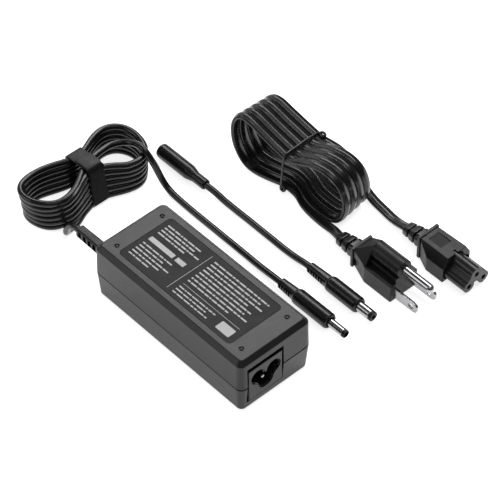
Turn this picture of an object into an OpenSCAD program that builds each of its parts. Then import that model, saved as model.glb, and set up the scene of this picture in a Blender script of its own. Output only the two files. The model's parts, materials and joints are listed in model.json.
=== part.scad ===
// Laptop power adapter kit: a two-shell brick with its fixed output lead,
// a short plug-converter lead and a detachable mains lead. Millimetres.
// Origin: centre of the brick's underside. +X towards the mains inlet,
// +Y towards the loose leads, +Z up. Everything stands on z = 0.

/* [Brick] */
// Length of the case along X
body_l = 106.8; // [104:0.2:112]
// Width of the case along Y
body_w = 46; // [46:0.5:50]
// Height of the case
body_h = 34.4; // [34:0.2:38]
// Height of the line where the two shells meet
part_z = 16.2; // [15:0.2:18]
// Wall thickness of both shells
wall = 2; // [1.8:0.1:2.2]
// Radius of the four upright corners
corner_r = 3.6; // [3:0.2:5]
// Chamfer along the top edges
top_ch = 2.4; // [2:0.1:3]
// Inward draft of the top shell, per side
draft_top = 0.4; // [0.2:0.1:0.6]
// Inward draft of the bottom shell, per side
draft_bot = 1.2; // [0.8:0.1:1.4]

/* [Rating label] */
// Length of the label panel
label_l = 80; // [70:1:84]
// Width of the label panel
label_w = 34; // [30:1:35]
// Depth of the label pocket
label_d = 0.3; // [0.2:0.05:0.4]

/* [Mains inlet] */
// Centre of the inlet along Y
inlet_y = -6.3; // [-7:0.1:-5]
// Height of the line and neutral pins
inlet_z = 18.3; // [18:0.1:19]
// Pitch of the line and neutral pins
pin_pitch = 10; // [10:0.1:10.2]
// Drop from the line and neutral row to the earth pin
earth_drop = 5.3; // [5.2:0.1:5.4]
// Radius of the inlet pins
inlet_pin_r = 1.2; // [1.1:0.05:1.3]
// Depth of the shaped recess
recess_d = 14.5; // [14:0.5:15]

/* [Output plug] */
// Radius of the plug's metal sleeve
dc_sleeve_r = 2.25; // [2.2:0.05:2.75]
// Length of the plug's metal sleeve
dc_sleeve_l = 9.5; // [9:0.5:11]
// Radius of both plug grips
grip_r = 4.3; // [4.2:0.1:4.8]

/* [Converter lead] */
// Radius of the converter plug's metal sleeve
tip_sleeve_r = 2.75; // [2.5:0.05:2.85]
// Radius of the converter socket's housing
socket_r = 4.1; // [4.1:0.1:4.6]

/* [Mains plug] */
// Pitch of the two flat blades
blade_pitch = 12.7; // [12.6:0.05:12.8]
// Length of the flat blades
blade_l = 16; // [15.9:0.1:18]
// Radius of the round earth pin
earth_pin_r = 2.4; // [2.35:0.05:2.45]
// Length of the round earth pin
earth_pin_l = 19.5; // [19:0.1:21]
// Distance from the blade row up to the earth pin
earth_pin_up = 11.9; // [11.8:0.05:12]

/* [Cords] */
// Diameter of the round low-voltage cord
dc_d = 3.6; // [3.4:0.1:3.8]
// Width of the flat mains cord
mains_w = 5.4; // [5.2:0.1:5.8]
// Thickness of the flat mains cord
mains_t = 2.9; // [2.7:0.1:3]

/* [Hidden] */
e = 0.01;
hx = body_l/2;
hy = body_w/2;
xin = hx - wall;                 // inside face of the inlet wall
board_z = 5.6;
board_t = 1.6;
top_of_board = board_z + board_t;
relief_y = -11;
relief_z = part_z;
relief_len = 25.2;
face_x = hx - 0.6;               // recessed face of the inlet housing
opening = [-18.5, 4.7, 5.0, 28.6]; // inlet opening in the shells: y0, y1, z0, z1
ear_r = 3.9;                     // lobes of the inlet recess
earth_r = 4.4;
// routes: the centre line of each free stretch of cord
tail_pts = [[-78.6,-11,16.2],[-82,-11,15.9],[-85.4,-11,14.3],[-88,-10.9,11.2],[-89.8,-10.7,7.6],
 [-91.2,-10,4.5],[-92.6,-8,2.5],[-92.8,-5,1.8],[-92.2,-1.4,1.8]];
run_pts = [[-96.4,45,23.9],[-92.8,45,23],[-89.8,45.7,19.4],[-87.3,46.8,14],[-84.9,47.7,8.6],[-81.8,48.3,4.4],
 [-77.4,48.5,2.3],[-70,48.3,1.8],[-60,48,1.8],[-50,47.9,1.8],[-40,47.8,1.8],[-30,47.7,1.8],
 [-20,47.6,1.8],[-10,47.2,2.2],[-2,46.6,3.4],[7,46.2,4.3]];
tip_pts = [[-68.5,63.9,4.1],[-62,64.3,3.5],[-55,64.6,2.2],[-46,64.7,1.8],[-37,64.7,1.8],[-28,64.6,1.8],
 [-19,64.5,1.8],[-10,64.4,1.8],[-2,64.2,2.6],[4,64,3.8],[9,63.9,4.3]];
plug_cord_pts = [[-26.5,95.1,1.5],[-20,93.8,1.5],[-14,92.8,1.5],[-8,92,1.5],[-3,91.2,2.2],[1.5,89.8,3.6],[5,88.5,5.2]];
coupler_cord_pts = [[-7,121.2,1.9],[-2,120.8,1.6],[4,120.2,1.5],[10,119.3,1.7],[16,118.4,2.9],[23,117.4,5.4]];
// plan of the output lead's hank, centre line of its turns
hank_plan = [[-116.6,19],[-119.2,8],[-121.6,-2],[-121.4,-10],[-117.4,-16],[-111,-17.6],[-104,-15.6],
 [-98.6,-10.4],[-95.8,-3],[-97,4],[-100.4,12],[-101,19],[-99.6,26],[-95.4,33],[-93.4,40],[-94.8,45.8],
 [-99.4,49.8],[-107,51.8],[-115,50.8],[-121,46],[-122.8,40],[-120.8,31]];
hank_turns = 6;
// profile of the mains hank in its own upright plane: along, up
mhank_prof = [[-40,26.8],[-50,29.4],[-58,34],[-64,36.9],[-69,36.4],[-73,32.6],[-75.2,26],[-75,18],[-72.4,9.6],
 [-67.4,3.6],[-61,1.9],[-52,3.2],[-41.5,4.6],[-31,4.7],[-20,4.6],[-13,3.6],[-8.4,1.8],[-4,4.8],[-2.1,11.4],
 [-3.2,19.4],[-7.8,27.4],[-14,30.4],[-21,30.6],[-30,27.6]];
mh_rot = 8;                      // turn of the mains hank about Z
mh_x = -40;
mh_y = 92.3;                     // -Y face of the hank at mh_x
mh_wid = 5*mains_w;
// plug and coupler stations
ma_y = 88.4;                     // axis of the mains plug
ma_x0 = 5;                       // start of its strain relief
ma_x1 = 19;                      // back flange
ma_x2 = 50;                      // front face
blade_z = 5.6;
cp_y = 117;                      // axis of the coupler
cp_x0 = 23;
cp_x1 = 37;
cp_x2 = 58;
cp_z = 4.9;                      // height of its line and neutral row
dcp_y = 46.2;
tip_y = 63.9;

// ---- helpers ----------------------------------------------------------
function rr(l, w, r, n=5) = [for (q=[[1,1,0],[-1,1,90],[-1,-1,180],[1,-1,270]], i=[0:n])
  [q[0]*(l/2-r) + r*cos(q[2]+90*i/n), q[1]*(w/2-r) + r*sin(q[2]+90*i/n)]];
module layer(z, inset, r) translate([0,0,z]) linear_extrude(e) polygon(rr(body_l-2*inset, body_w-2*inset, max(r-inset, 0.8)));
module cylx(x0, x1, y, z, r, fn=48) translate([x0,y,z]) rotate([0,90,0]) cylinder(r=r, h=x1-x0, $fn=fn);
module box(a, b) translate(a) cube(b-a);
// closed smooth curve through points
function cr(p0,p1,p2,p3,t) = 0.5*((2*p1) + (p2-p0)*t + (2*p0-5*p1+4*p2-p3)*t*t + (3*p1-p0-3*p2+p3)*t*t*t);
function closed_curve(p, m) = let(n=len(p)) [for (i=[0:n-1], j=[0:m-1]) cr(p[(i+n-1)%n], p[i], p[(i+1)%n], p[(i+2)%n], j/m)];
function area2(p) = let(n=len(p)) [for (s=0, i=0; i<=n; s=s+(i<n ? p[i][0]*p[(i+1)%n][1]-p[(i+1)%n][0]*p[i][1] : 0), i=i+1) s][n];
function off_curve(p, d) = let(n=len(p), s=area2(p) > 0 ? 1 : -1) [for (i=[0:n-1])
  let(t=p[(i+1)%n]-p[(i+n-1)%n], u=t/norm(t)) p[i] + s*d*[u[1], -u[0]]];
// tube of an elliptical section along a list of points
module tube(p, w, h, k=8) {
  n = len(p);
  rings = [for (i=[0:n-1])
    let(t = (i==0 ? p[1]-p[0] : i==n-1 ? p[n-1]-p[n-2] : p[i+1]-p[i-1]), u = t/norm(t),
        c = cross([0,0,1], u), s = c/norm(c), v = cross(u, s))
    for (j=[0:k-1]) let(a=360*(j+0.5)/k) p[i] + s*(w/2)*cos(a) + v*(h/2)*sin(a)];
  faces = concat([[for (j=[0:k-1]) j]], [[for (j=[k-1:-1:0]) (n-1)*k+j]],
    [for (i=[0:n-2], j=[0:k-1]) let(a=i*k+j, b=i*k+(j+1)%k) each [[a, b+k, b], [a, a+k, b+k]]]);
  polyhedron(points=rings, faces=faces);
}
// the shaped section of the inlet recess, g = clearance taken off
module trefoil(g) {
  for (s=[-1,1]) translate([s*5, 0]) circle(r=ear_r-g, $fn=48);
  translate([0,-earth_drop]) circle(r=earth_r-g, $fn=48);
  polygon([[-7.3+0.73*g,-2.2+0.69*g],[-2.7+0.73*g,-7.8+0.69*g],[2.7-0.73*g,-7.8+0.69*g],[7.3-0.73*g,-2.2+0.69*g],[5,-0.3-g],[-5,-0.3-g]]);
}

// ---- brick ------------------------------------------------------------
module top_outer(k) hull() {
  layer(part_z, k, corner_r);
  layer(body_h-top_ch, draft_top+k, corner_r);
  layer(body_h-e-k, draft_top+top_ch+k*0.6, corner_r+1);
}
module bottom_outer(k) hull() {
  layer(part_z-e, k, corner_r);
  layer(1.2+k, draft_bot+k, corner_r);
  layer(k, draft_bot+1.1+k, corner_r+1);
}
module inlet_opening() box([hx-4, opening[0], opening[2]], [hx+1, opening[1], opening[3]]);
module relief_window() box([-hx-1, relief_y-2.9, relief_z-3.2], [-hx+4, relief_y+2.9, relief_z+3.2]);
module top_shell() color("#4a4a4c") difference() {
  union() {
    difference() {
      top_outer(0);
      translate([0,0,-e]) top_outer(wall);
      // label pocket
      translate([-1,0,body_h-label_d]) linear_extrude(1) polygon(rr(label_l+0.4, label_w+0.4, 2.2));
      // shallow dimples at the corners of the top face
      for (x=[-44.8,44.8], y=[-14.6,14.6]) translate([x,y,body_h-0.5]) cylinder(r=1.4, h=1, $fn=32);
      // rebate over the bottom shell's lip
      translate([0,0,part_z-0.5]) linear_extrude(2) polygon(rr(body_l-2*1.05, body_w-2*1.05, corner_r-1));
    }
    for (x=[-44.8,44.8], y=[-14.6,14.6]) translate([x,y,body_h-0.6]) cylinder(r1=0.95, r2=0.55, h=0.5, $fn=24);
    // ribs that press the board down
    for (x=[-46,30], y=[-1,1]) box([x, y*(hy-5.2)-1, top_of_board], [x+1.6, y*(hy-5.2)+1, body_h-1.5]);
  }
  inlet_opening();
  relief_window();
}
module bottom_shell() color("#464648") difference() {
  union() {
    difference() {
      bottom_outer(0);
      translate([0,0,e]) bottom_outer(wall);
    }
    // lip
    difference() {
      translate([0,0,part_z-1.5]) linear_extrude(2.8) polygon(rr(body_l-2*1.15, body_w-2*1.15, corner_r-1));
      translate([0,0,part_z-4]) linear_extrude(8) polygon(rr(body_l-2*wall, body_w-2*wall, corner_r-1.6));
    }
    // posts under the board
    for (x=[-46,28], y=[-15,15]) translate([x,y,wall-0.5]) cylinder(r=2.2, h=board_z-wall+0.5, $fn=32);
  }
  inlet_opening();
  relief_window();
}
module rating_label() color("#3a3a3c") translate([-1,0,body_h-label_d]) linear_extrude(label_d-0.05) polygon(rr(label_l, label_w, 2));

// ---- mains inlet ------------------------------------------------------
module at_inlet(x) translate([x, inlet_y, inlet_z]) rotate([90,0,90]) children();
module inlet_housing() color("#3c3c3e") difference() {
  union() {
    box([34.6, -17.2, 5.4], [face_x, 4.4, 26.6]);
    box([face_x-17, -18.3, 5.2], [hx-3.2, 4.5, 28.4]);
    box([hx-5.4, -19.4, 4.7], [hx-3.2, 6.2, 29.6]);
  }
  at_inlet(face_x-recess_d) linear_extrude(recess_d+1) trefoil(0);
  for (s=[-1,1]) cylx(30, 50, inlet_y+s*pin_pitch/2, inlet_z, inlet_pin_r-0.18, 32);
  cylx(30, 50, inlet_y, inlet_z-earth_drop, inlet_pin_r-0.18, 32);
}
module inlet_live_pins() color("#c8c8cc") for (s=[-1,1]) {
  // a thinner shank holds each pin in the housing
  cylx(31, face_x-recess_d+0.1, inlet_y+s*pin_pitch/2, inlet_z, inlet_pin_r-0.2, 32);
  cylx(face_x-recess_d, face_x-4.8, inlet_y+s*pin_pitch/2, inlet_z, inlet_pin_r, 32);
  translate([face_x-4.8, inlet_y+s*pin_pitch/2, inlet_z]) rotate([0,90,0]) cylinder(r1=inlet_pin_r, r2=0.7, h=0.8, $fn=32);
}
module inlet_earth_pin() color("#c8c8cc") {
  cylx(31, face_x-recess_d+0.1, inlet_y, inlet_z-earth_drop, inlet_pin_r-0.2, 32);
  cylx(face_x-recess_d, face_x-1.9, inlet_y, inlet_z-earth_drop, inlet_pin_r, 32);
  translate([face_x-1.9, inlet_y, inlet_z-earth_drop]) rotate([0,90,0]) cylinder(r1=inlet_pin_r, r2=0.7, h=0.8, $fn=32);
}
module drop_wire(x, y, z0, z1, x1, r=0.8) {
  cylx(min(x, x1), max(x, x1), y, z1, r, 16);
  translate([x,y,z1]) sphere(r=r, $fn=16);
  translate([x,y,z0]) cylinder(r=r, h=z1-z0, $fn=16);
}
module inlet_wires() color("#b58a2a") {
  for (s=[-1,1]) drop_wire(29.6, inlet_y+s*pin_pitch/2, top_of_board, inlet_z, 31);
  drop_wire(29.6, inlet_y, top_of_board, inlet_z-earth_drop, 31);
}

// ---- inside the brick -------------------------------------------------
module circuit_board() color("#2f5d33") difference() {
  union() {
    box([-49.5,-19,board_z], [33.6,19,top_of_board]);
    box([33.5,8.4,board_z], [46,18,top_of_board]);
  }
  for (x=[-46,28], y=[-15,15]) translate([x,y,board_z-1]) cylinder(r=1, h=4, $fn=24);
}
module insulating_sheet() color("#d8d2b8") difference() {
  box([-49,-19,2.6], [33,19,3]);
  for (x=[-46,28], y=[-15,15]) translate([x,y,2]) cylinder(r=2.6, h=2, $fn=32);
}
module heat_spreader() color("#b0b2b6") {
  box([-43,-17,30.9], [27,17,31.5]);
  for (s=[-1,1]) box([-35, s>0 ? 17 : -17.6, 24], [24, s>0 ? 17.6 : -17, 31.5]);
}
tx = -17.6; ty = -3;
module transformer_core() color("#35353a") difference() {
  box([tx-12.6, ty-12, 9.4], [tx+12.6, ty+12, 29.4]);
  // winding window on both sides of the round centre leg
  difference() {
    box([tx-9.5, ty-13, 12.6], [tx+9.5, ty+13, 26.2]);
    translate([tx,ty,9]) cylinder(r=4.6, h=21, $fn=32);
  }
}
module transformer_bobbin() color("#1c1c1e") difference() {
  union() {
    for (z=[12.8, 25]) translate([tx,ty,z]) cylinder(r=9.3, h=1, $fn=48);
    translate([tx,ty,12.8]) cylinder(r=5.5, h=13, $fn=48);
    for (s=[-1,1]) {
      box([tx-9, s>0 ? ty+12.2 : ty-14.8, top_of_board], [tx+9, s>0 ? ty+14.8 : ty-12.2, 13.8]);
      box([tx-2.5, s>0 ? ty+8 : ty-14, 12.8], [tx+2.5, s>0 ? ty+14 : ty-8, 13.8]);
    }
  }
  translate([tx,ty,12]) cylinder(r=4.7, h=15, $fn=48);
}
module transformer_winding() color("#c9a227") translate([tx,ty,13.9]) rotate_extrude($fn=48) translate([5.6,0]) square([3.5, 11]);
module bulk_capacitor() color("#2b2f52") {
  translate([11,-16.5,16.8]) rotate([-90,0,0]) {
    cylinder(r=8.6, h=2.4, $fn=48);
    translate([0,0,2.4]) cylinder(r1=8.6, r2=8, h=0.8, $fn=48);
    translate([0,0,3.2]) cylinder(r1=8, r2=8.6, h=0.8, $fn=48);
    translate([0,0,4]) cylinder(r=8.6, h=28.6, $fn=48);
  }
}
module output_capacitors() color("#23303a") for (y=[2.6, 12.6]) translate([-41,y,top_of_board]) {
  cylinder(r=4.9, h=1.6, $fn=32);
  translate([0,0,1.6]) cylinder(r1=4.9, r2=4.5, h=0.6, $fn=32);
  translate([0,0,2.2]) cylinder(r1=4.5, r2=4.9, h=0.6, $fn=32);
  translate([0,0,2.8]) cylinder(r=4.9, h=17, $fn=32);
}
module noise_capacitor() color("#c4a43a") box([22.6,-18.2,top_of_board], [28.2,-10.8,21]);
module bridging_capacitors() color("#3a6ea8") for (x=[-24,-10]) {
  translate([x,14.6,13.6]) rotate([90,0,0]) cylinder(r=4, h=3, center=true, $fn=32);
  for (s=[-1,1]) translate([x+s*2.2,14.6,top_of_board]) cylinder(r=0.35, h=3.4, $fn=16);
}
module choke_core() color("#3d4a3d") translate([24.4,9.6,17.4]) rotate([0,90,0]) rotate_extrude($fn=48) translate([4.2,-3]) square([4, 6]);
module choke_windings() color("#b87333") difference() {
  translate([24.4,9.6,17.4]) rotate([0,90,0]) rotate_extrude($fn=48) translate([3.2,-4.2]) square([6, 8.4]);
  translate([24.4,9.6,17.4]) rotate([0,90,0]) rotate_extrude($fn=48) translate([4.15,-3.05]) square([4.1, 6.1]);
  box([19,7.6,6], [30,11.6,29]);
}
module bridge_rectifier() color("#1d1d1f") {
  box([-3.9,-17,12], [-0.8,-6,24]);
  for (y=[-16,-13,-10,-7]) box([-2.6, y-0.4, top_of_board], [-2.1, y+0.4, 12]);
}
module switching_transistor() color("#222224") difference() {
  union() {
    box([-1.9,3,14], [-0.8,13,28]);
    box([-4.2,3,13.4], [-1.8,13,22.4]);
    for (y=[5.5,8,10.5]) box([-2.6, y-0.4, top_of_board], [-2.1, y+0.4, 14]);
  }
  cylx(-3, 1, 8, 25.4, 1.8, 24);
}
module primary_heat_sink() color("#aeb0b4") difference() {
  union() {
    box([-0.8,-16.6,top_of_board+0.6], [0.6,16.6,29.6]);
    for (y=[-15,-5,5,15]) box([-0.6, y-0.7, top_of_board], [0.4, y+0.7, top_of_board+0.8]);
  }
  cylx(-2, 2, 8, 25.4, 1.6, 24);
}
module output_rectifier() color("#222224") difference() {
  union() {
    box([-32.9,-6,14], [-32.2,4,28]);
    box([-35.6,-6,13.4], [-32.8,4,22.4]);
    for (y=[-3.5,-1,1.5]) box([-33.2, y-0.4, top_of_board], [-32.7, y+0.4, 14]);
  }
  cylx(-34, -31, -1, 25.4, 1.8, 24);
}
module secondary_heat_sink() color("#aeb0b4") difference() {
  union() {
    box([-32.2,-16.6,top_of_board+0.6], [-30.8,16.6,29.6]);
    for (y=[-15,-9,9,15]) box([-32, y-0.7, top_of_board], [-31, y+0.7, top_of_board+0.8]);
  }
  cylx(-33, -30, -1, 25.4, 1.6, 24);
}
module fuse() color("#e0dccf") {
  cylx(34.5, 43.5, 15.4, 10.4, 2, 24);
  for (x=[34.2,43]) cylx(x, x+1.2, 15.4, 10.4, 2.3, 24);
  for (x=[34.8,43.6]) translate([x,15.4,top_of_board]) cylinder(r=0.35, h=1.6, $fn=16);
}
module surge_varistor() color("#2f6fb3") {
  translate([39,10.8,14.6]) rotate([90,0,0]) cylinder(r=5, h=3, center=true, $fn=32);
  for (s=[-1,1]) translate([39+s*2.5,10.8,top_of_board]) cylinder(r=0.4, h=3.4, $fn=16);
}
module control_chip() color("#18181a") {
  box([-5.6,-11.6,board_z-1.6], [-1.6,-6.6,board_z-0.2]);
  for (s=[0:3]) for (x=[-6.6,-1.7]) box([x,-11.2+s*1.27,board_z-0.6], [x+1.1,-10.8+s*1.27,board_z]);
}
module optocoupler() color("#202022") {
  box([-19.4,13.4,top_of_board+1], [-14.6,17.8,top_of_board+4.4]);
  for (x=[-18.5,-16], y=[13.2,17.6]) box([x, y, top_of_board], [x+0.5, y+0.4, top_of_board+2]);
}
module output_inductor() color("#4a3a2e") translate([-38.4,-14.4,top_of_board]) {
  cylinder(r=3.6, h=1.2, $fn=32);
  translate([0,0,1.2]) cylinder(r=2.9, h=8.6, $fn=32);
  translate([0,0,9.8]) cylinder(r=3.6, h=1.2, $fn=32);
}
module output_wires() color("#a03030") for (y=[relief_y-1.3, relief_y+1.3]) drop_wire(-44.6, y, top_of_board, relief_z, -46.2, 0.7);

// ---- output lead ------------------------------------------------------
module lead_relief() color("#1e1e20") {
  difference() {
    hull() {
      box([-hx-relief_len, relief_y-2.1, relief_z-2.15], [-hx-relief_len+e, relief_y+2.1, relief_z+2.15]);
      box([-hx-e, relief_y-2.75, relief_z-3.05], [-hx, relief_y+2.75, relief_z+3.05]);
    }
    for (i=[0:5]) for (s=[-1,1])
      box([-hx-3.4-i*3.8-(s>0 ? 1.0 : 0), s>0 ? relief_y+1.2 : relief_y-4, relief_z-4],
          [-hx-1.6-i*3.8-(s>0 ? 1.0 : 0), s>0 ? relief_y+4 : relief_y-1.2, relief_z+1.9]);
  }
  box([-hx-e, relief_y-2.75, relief_z-3.05], [-hx+2.7, relief_y+2.75, relief_z+3.05]);
  box([-hx+2.6, relief_y-4.6, relief_z-4.6], [-hx+4.6, relief_y+4.6, relief_z+4.6]);
  box([-hx+4.6, relief_y-2.9, relief_z-2.4], [-46.2, relief_y+2.9, relief_z+2.4]);
}
module lead_tail() color("#141416") tube(tail_pts, dc_d, dc_d, 8);
module lead_hank() color("#151517") linear_extrude(22) polygon(off_curve(closed_curve(hank_plan, 3), dc_d/2));
module lead_run() color("#141416") tube(run_pts, dc_d, dc_d, 8);
module hank_strap() color("#303032") translate([0,23.4,0]) rotate([90,0,0]) linear_extrude(9.8) difference() {
  polygon([[-119.2,0],[-119.2,22.4],[-118.4,23.3],[-103.4,24.1],[-101,22.8],[-97.4,0]]);
  polygon([[-118.4,0.8],[-118.4,21.8],[-117.9,22.5],[-103.8,23.3],[-101.7,22.3],[-98.3,0.8]]);
}
module ribbed(x0, x1, y, z, r0, r1, n) {
  // tapered core with fat rings
  translate([x0,y,z]) rotate([0,90,0]) cylinder(r1=r0*0.86, r2=r1*0.9, h=x1-x0, $fn=32);
  for (i=[0:n-1]) let(p=(x1-x0)/n, x=x0+i*p, r=r0+(r1-r0)*i/max(n-1,1)) cylx(x, x+p*0.62, y, z, r, 32);
}
module plug_relief() color("#19191b") ribbed(7, 17.4, dcp_y, 4.3, 2.9, 3.1, 6);
module plug_grip() color("#1f1f21") {
  translate([17.4,dcp_y,4.3]) rotate([0,90,0]) rotate_extrude($fn=48)
    polygon([[0,0],[3.5,0],[4.1,0.5],[grip_r,1.3],[grip_r,23.4],[4.0,24.4],[3.2,24.6],[0,24.6]]);
}
module plug_sleeve() color("#c9cacd") difference() {
  cylx(42, 42+dc_sleeve_l, dcp_y, 4.3, dc_sleeve_r);
  cylx(42.5, 42+dc_sleeve_l+1, dcp_y, 4.3, dc_sleeve_r-0.35);
}
module plug_tip_insulator() color("#0d0d0e") difference() {
  union() {
    cylx(42.5, 42+dc_sleeve_l, dcp_y, 4.3, dc_sleeve_r-0.36);
    cylx(42+dc_sleeve_l, 42+dc_sleeve_l+1.6, dcp_y, 4.3, dc_sleeve_r-0.05);
  }
  cylx(44, 60, dcp_y, 4.3, 1.5);
}

// ---- converter lead ---------------------------------------------------
sx0 = -103.5;
module tip_socket_housing() color("#1f1f21") difference() {
  translate([sx0,tip_y,4.1]) rotate([0,90,0]) rotate_extrude($fn=48)
    polygon([[0,0],[3.5,0],[socket_r,0.7],[socket_r,21.6],[3.9,22.6],[2.95,26.8],[2.9,34.2],[2.6,34.8],[0,35]]);
  cylx(sx0-1, sx0+10.5, tip_y, 4.1, 2.75);
}
module tip_socket_sleeve() color("#b9babd") difference() {
  cylx(sx0+0.5, sx0+10.5, tip_y, 4.1, 2.73);
  cylx(sx0, sx0+10, tip_y, 4.1, 2.33);
}
module tip_socket_pin() color("#b9babd") {
  cylx(sx0+9.2, sx0+9.95, tip_y, 4.1, 2.3, 32);
  cylx(sx0+2, sx0+9.5, tip_y, 4.1, 0.9, 32);
}
module tip_cord() color("#141416") tube(tip_pts, dc_d, dc_d, 8);
module tip_relief() color("#19191b") ribbed(9, 22.4, tip_y, 4.3, 2.9, 3.1, 7);
module tip_grip() color("#1f1f21") translate([22.4,tip_y,4.3]) rotate([0,90,0]) rotate_extrude($fn=48)
    polygon([[0,0],[3.5,0],[4.1,0.5],[grip_r,1.3],[grip_r,20.6],[4.0,21.6],[3.2,21.8],[0,21.8]]);
module tip_sleeve() color("#c9cacd") difference() {
  cylx(44.2, 52.2, tip_y, 4.3, tip_sleeve_r);
  cylx(44.7, 54, tip_y, 4.3, tip_sleeve_r-0.35);
}
module tip_insulator() color("#0d0d0e") difference() {
  union() {
    cylx(44.7, 52.2, tip_y, 4.3, tip_sleeve_r-0.36);
    cylx(52.2, 54, tip_y, 4.3, tip_sleeve_r-0.05);
  }
  cylx(46.5, 60, tip_y, 4.3, 1.25);
}

// ---- mains lead -------------------------------------------------------
module wedge(x0, w0, x1, w1, x2, y, z0, z1, c) translate([0,y,0]) hull() {
  translate([0,0,z0+c]) linear_extrude(z1-z0-2*c) polygon([[x0,-w0/2],[x1,-w1/2],[x2,-w1/2],[x2,w1/2],[x1,w1/2],[x0,w0/2]]);
  translate([0,0,z0]) linear_extrude(z1-z0) polygon([[x0,-w0/2+c],[x1+c,-w1/2+c],[x2-e,-w1/2+c],[x2-e,w1/2-c],[x1+c,w1/2-c],[x0,w0/2-c]]);
}
module at_coupler(x) translate([x, cp_y, cp_z]) mirror([0,0,1]) rotate([90,0,90]) children();
module coupler_body() color("#2c2c2e") difference() {
  union() {
    wedge(cp_x1+1.2, 11.6, cp_x1+9.4, 19.2, cp_x2, cp_y, 0, 15, 1);
    box([cp_x1, cp_y-6.4, 0.9], [cp_x1+1.6, cp_y+6.4, 13.6]);
  }
  at_coupler(cp_x2-9) linear_extrude(20) trefoil(0.36);
}
module coupler_nose() color("#222224") difference() {
  at_coupler(cp_x2-9) linear_extrude(9+13.8) trefoil(0.4);
  for (s=[-1,1]) cylx(cp_x2-7, cp_x2+20, cp_y+s*pin_pitch/2, cp_z, 1.45, 32);
  cylx(cp_x2-7, cp_x2+20, cp_y, cp_z+earth_drop, 1.45, 32);
}
module contact(y, z) difference() {
  cylx(cp_x2-6.9, cp_x2+11.5, y, z, 1.43, 24);
  cylx(cp_x2-6, cp_x2+12, y, z, 1.24, 24);
}
module coupler_contacts() color("#b08d57") {
  for (s=[-1,1]) contact(cp_y+s*pin_pitch/2, cp_z);
  contact(cp_y, cp_z+earth_drop);
}
module rounded_seg(x0, x1, y, z, w, h) translate([x0,y,z]) rotate([90,0,90]) linear_extrude(x1-x0) polygon(rr(w, h, min(w,h)*0.3, 3));
module segmented(x0, x1, y, z0, z1, w0, h0, w1, h1, n) {
  // boxy segments on a narrower core, growing towards the body
  for (i=[0:n-1]) let(p=(x1-x0)/n, f=i/max(n-1,1), x=x0+i*p, w=w0+(w1-w0)*f, h=h0+(h1-h0)*f, z=z0+(z1-z0)*(i+0.5)/n) {
    rounded_seg(x, x+p*0.72, y, z, w, h);
    rounded_seg(x, x+p+(i<n-1 ? 0.4 : 0), y, z, w*0.72, h*0.72);
  }
}
module coupler_relief() color("#1d1d1f") segmented(cp_x0, cp_x1, cp_y+0.4, 5.6, 6.8, 7.4, 5.4, 9.6, 8.2, 3);
module coupler_cord() color("#161618") tube(coupler_cord_pts, mains_w, mains_t, 10);
module mains_hank() color("#171719") translate([mh_x,mh_y,0]) rotate([0,0,mh_rot]) translate([-mh_x,mh_wid,0])
  rotate([90,0,0]) linear_extrude(mh_wid) polygon(off_curve(closed_curve(mhank_prof, 2), mains_t/2));
module wire_tie() color("#101012") translate([mh_x,mh_y,0]) rotate([0,0,mh_rot]) {
  w = mh_wid; z1 = 29; z0 = 2.3;
  for (z=[z0,z1]) translate([0,-0.9,z]) rotate([-90,0,0]) cylinder(r=0.7, h=w+1.8, $fn=16);
  for (y=[-0.9,w+0.9]) translate([0,y,z0]) cylinder(r=0.7, h=z1-z0, $fn=16);
  for (y=[-0.9,w+0.9], z=[z0,z1]) translate([0,y,z]) sphere(r=0.7, $fn=16);
  translate([0,w+3,z1]) rotate([90,0,90]) rotate_extrude($fn=24) translate([2,0]) circle(r=0.6, $fn=16);
}
module mains_plug_cord() color("#161618") tube(plug_cord_pts, mains_w, mains_t, 10);
module mains_plug_relief() color("#1d1d1f") segmented(ma_x0, ma_x1, ma_y, 5.4, 6.2, 7.4, 5.4, 9.6, 7.8, 3);
module mains_plug_body() color("#2a2a2c") difference() {
  union() {
    // base slab that carries the blades
    wedge(ma_x1+1.4, 10, ma_x1+12.4, 18.6, ma_x2, ma_y, 0, 11, 0.8);
    // back flange
    box([ma_x1, ma_y-6.1, 0.8], [ma_x1+1.6, ma_y+6.1, 11.8]);
    // earth barrel with a ramp down to the flange
    cylx(ma_x1+12.4, ma_x2, ma_y, blade_z+earth_pin_up, 4.8);
    hull() {
      cylx(ma_x1+12.4, ma_x1+13.4, ma_y, blade_z+earth_pin_up, 4.8, 32);
      box([ma_x1+12.4, ma_y-6.6, 8.8], [ma_x1+13.4, ma_y+6.6, 10.8]);
      box([ma_x1+1.5, ma_y-5, 7.6], [ma_x1+1.6, ma_y+5, 11.4]);
    }
    box([ma_x1+13, ma_y-5.8, 7.6], [ma_x2, ma_y+5.8, 14.2]);
  }
  for (s=[-1,1]) box([ma_x2-8, ma_y+s*blade_pitch/2-0.8, blade_z-3.2], [ma_x2+1, ma_y+s*blade_pitch/2+0.8, blade_z+3.2]);
  cylx(ma_x2-8, ma_x2+1, ma_y, blade_z+earth_pin_up, earth_pin_r-0.38);
}
module mains_plug_blades() color("#d0d1d4") for (s=[-1,1]) translate([0, ma_y+s*blade_pitch/2, blade_z]) difference() {
  union() {
    box([ma_x2-7.9, -0.75, -3.17], [ma_x2+blade_l-2.4, 0.75, 3.17]);
    translate([ma_x2+blade_l-2.5, 0.75, 0]) rotate([90,0,0]) linear_extrude(1.5) polygon([[0,-3.17],[1.7,-2.6],[2.5,-1.6],[2.5,1.6],[1.7,2.6],[0,3.17]]);
  }
  translate([ma_x2+11.7, 2, 0]) rotate([90,0,0]) cylinder(r=1.6, h=4, $fn=32);
}
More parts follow.
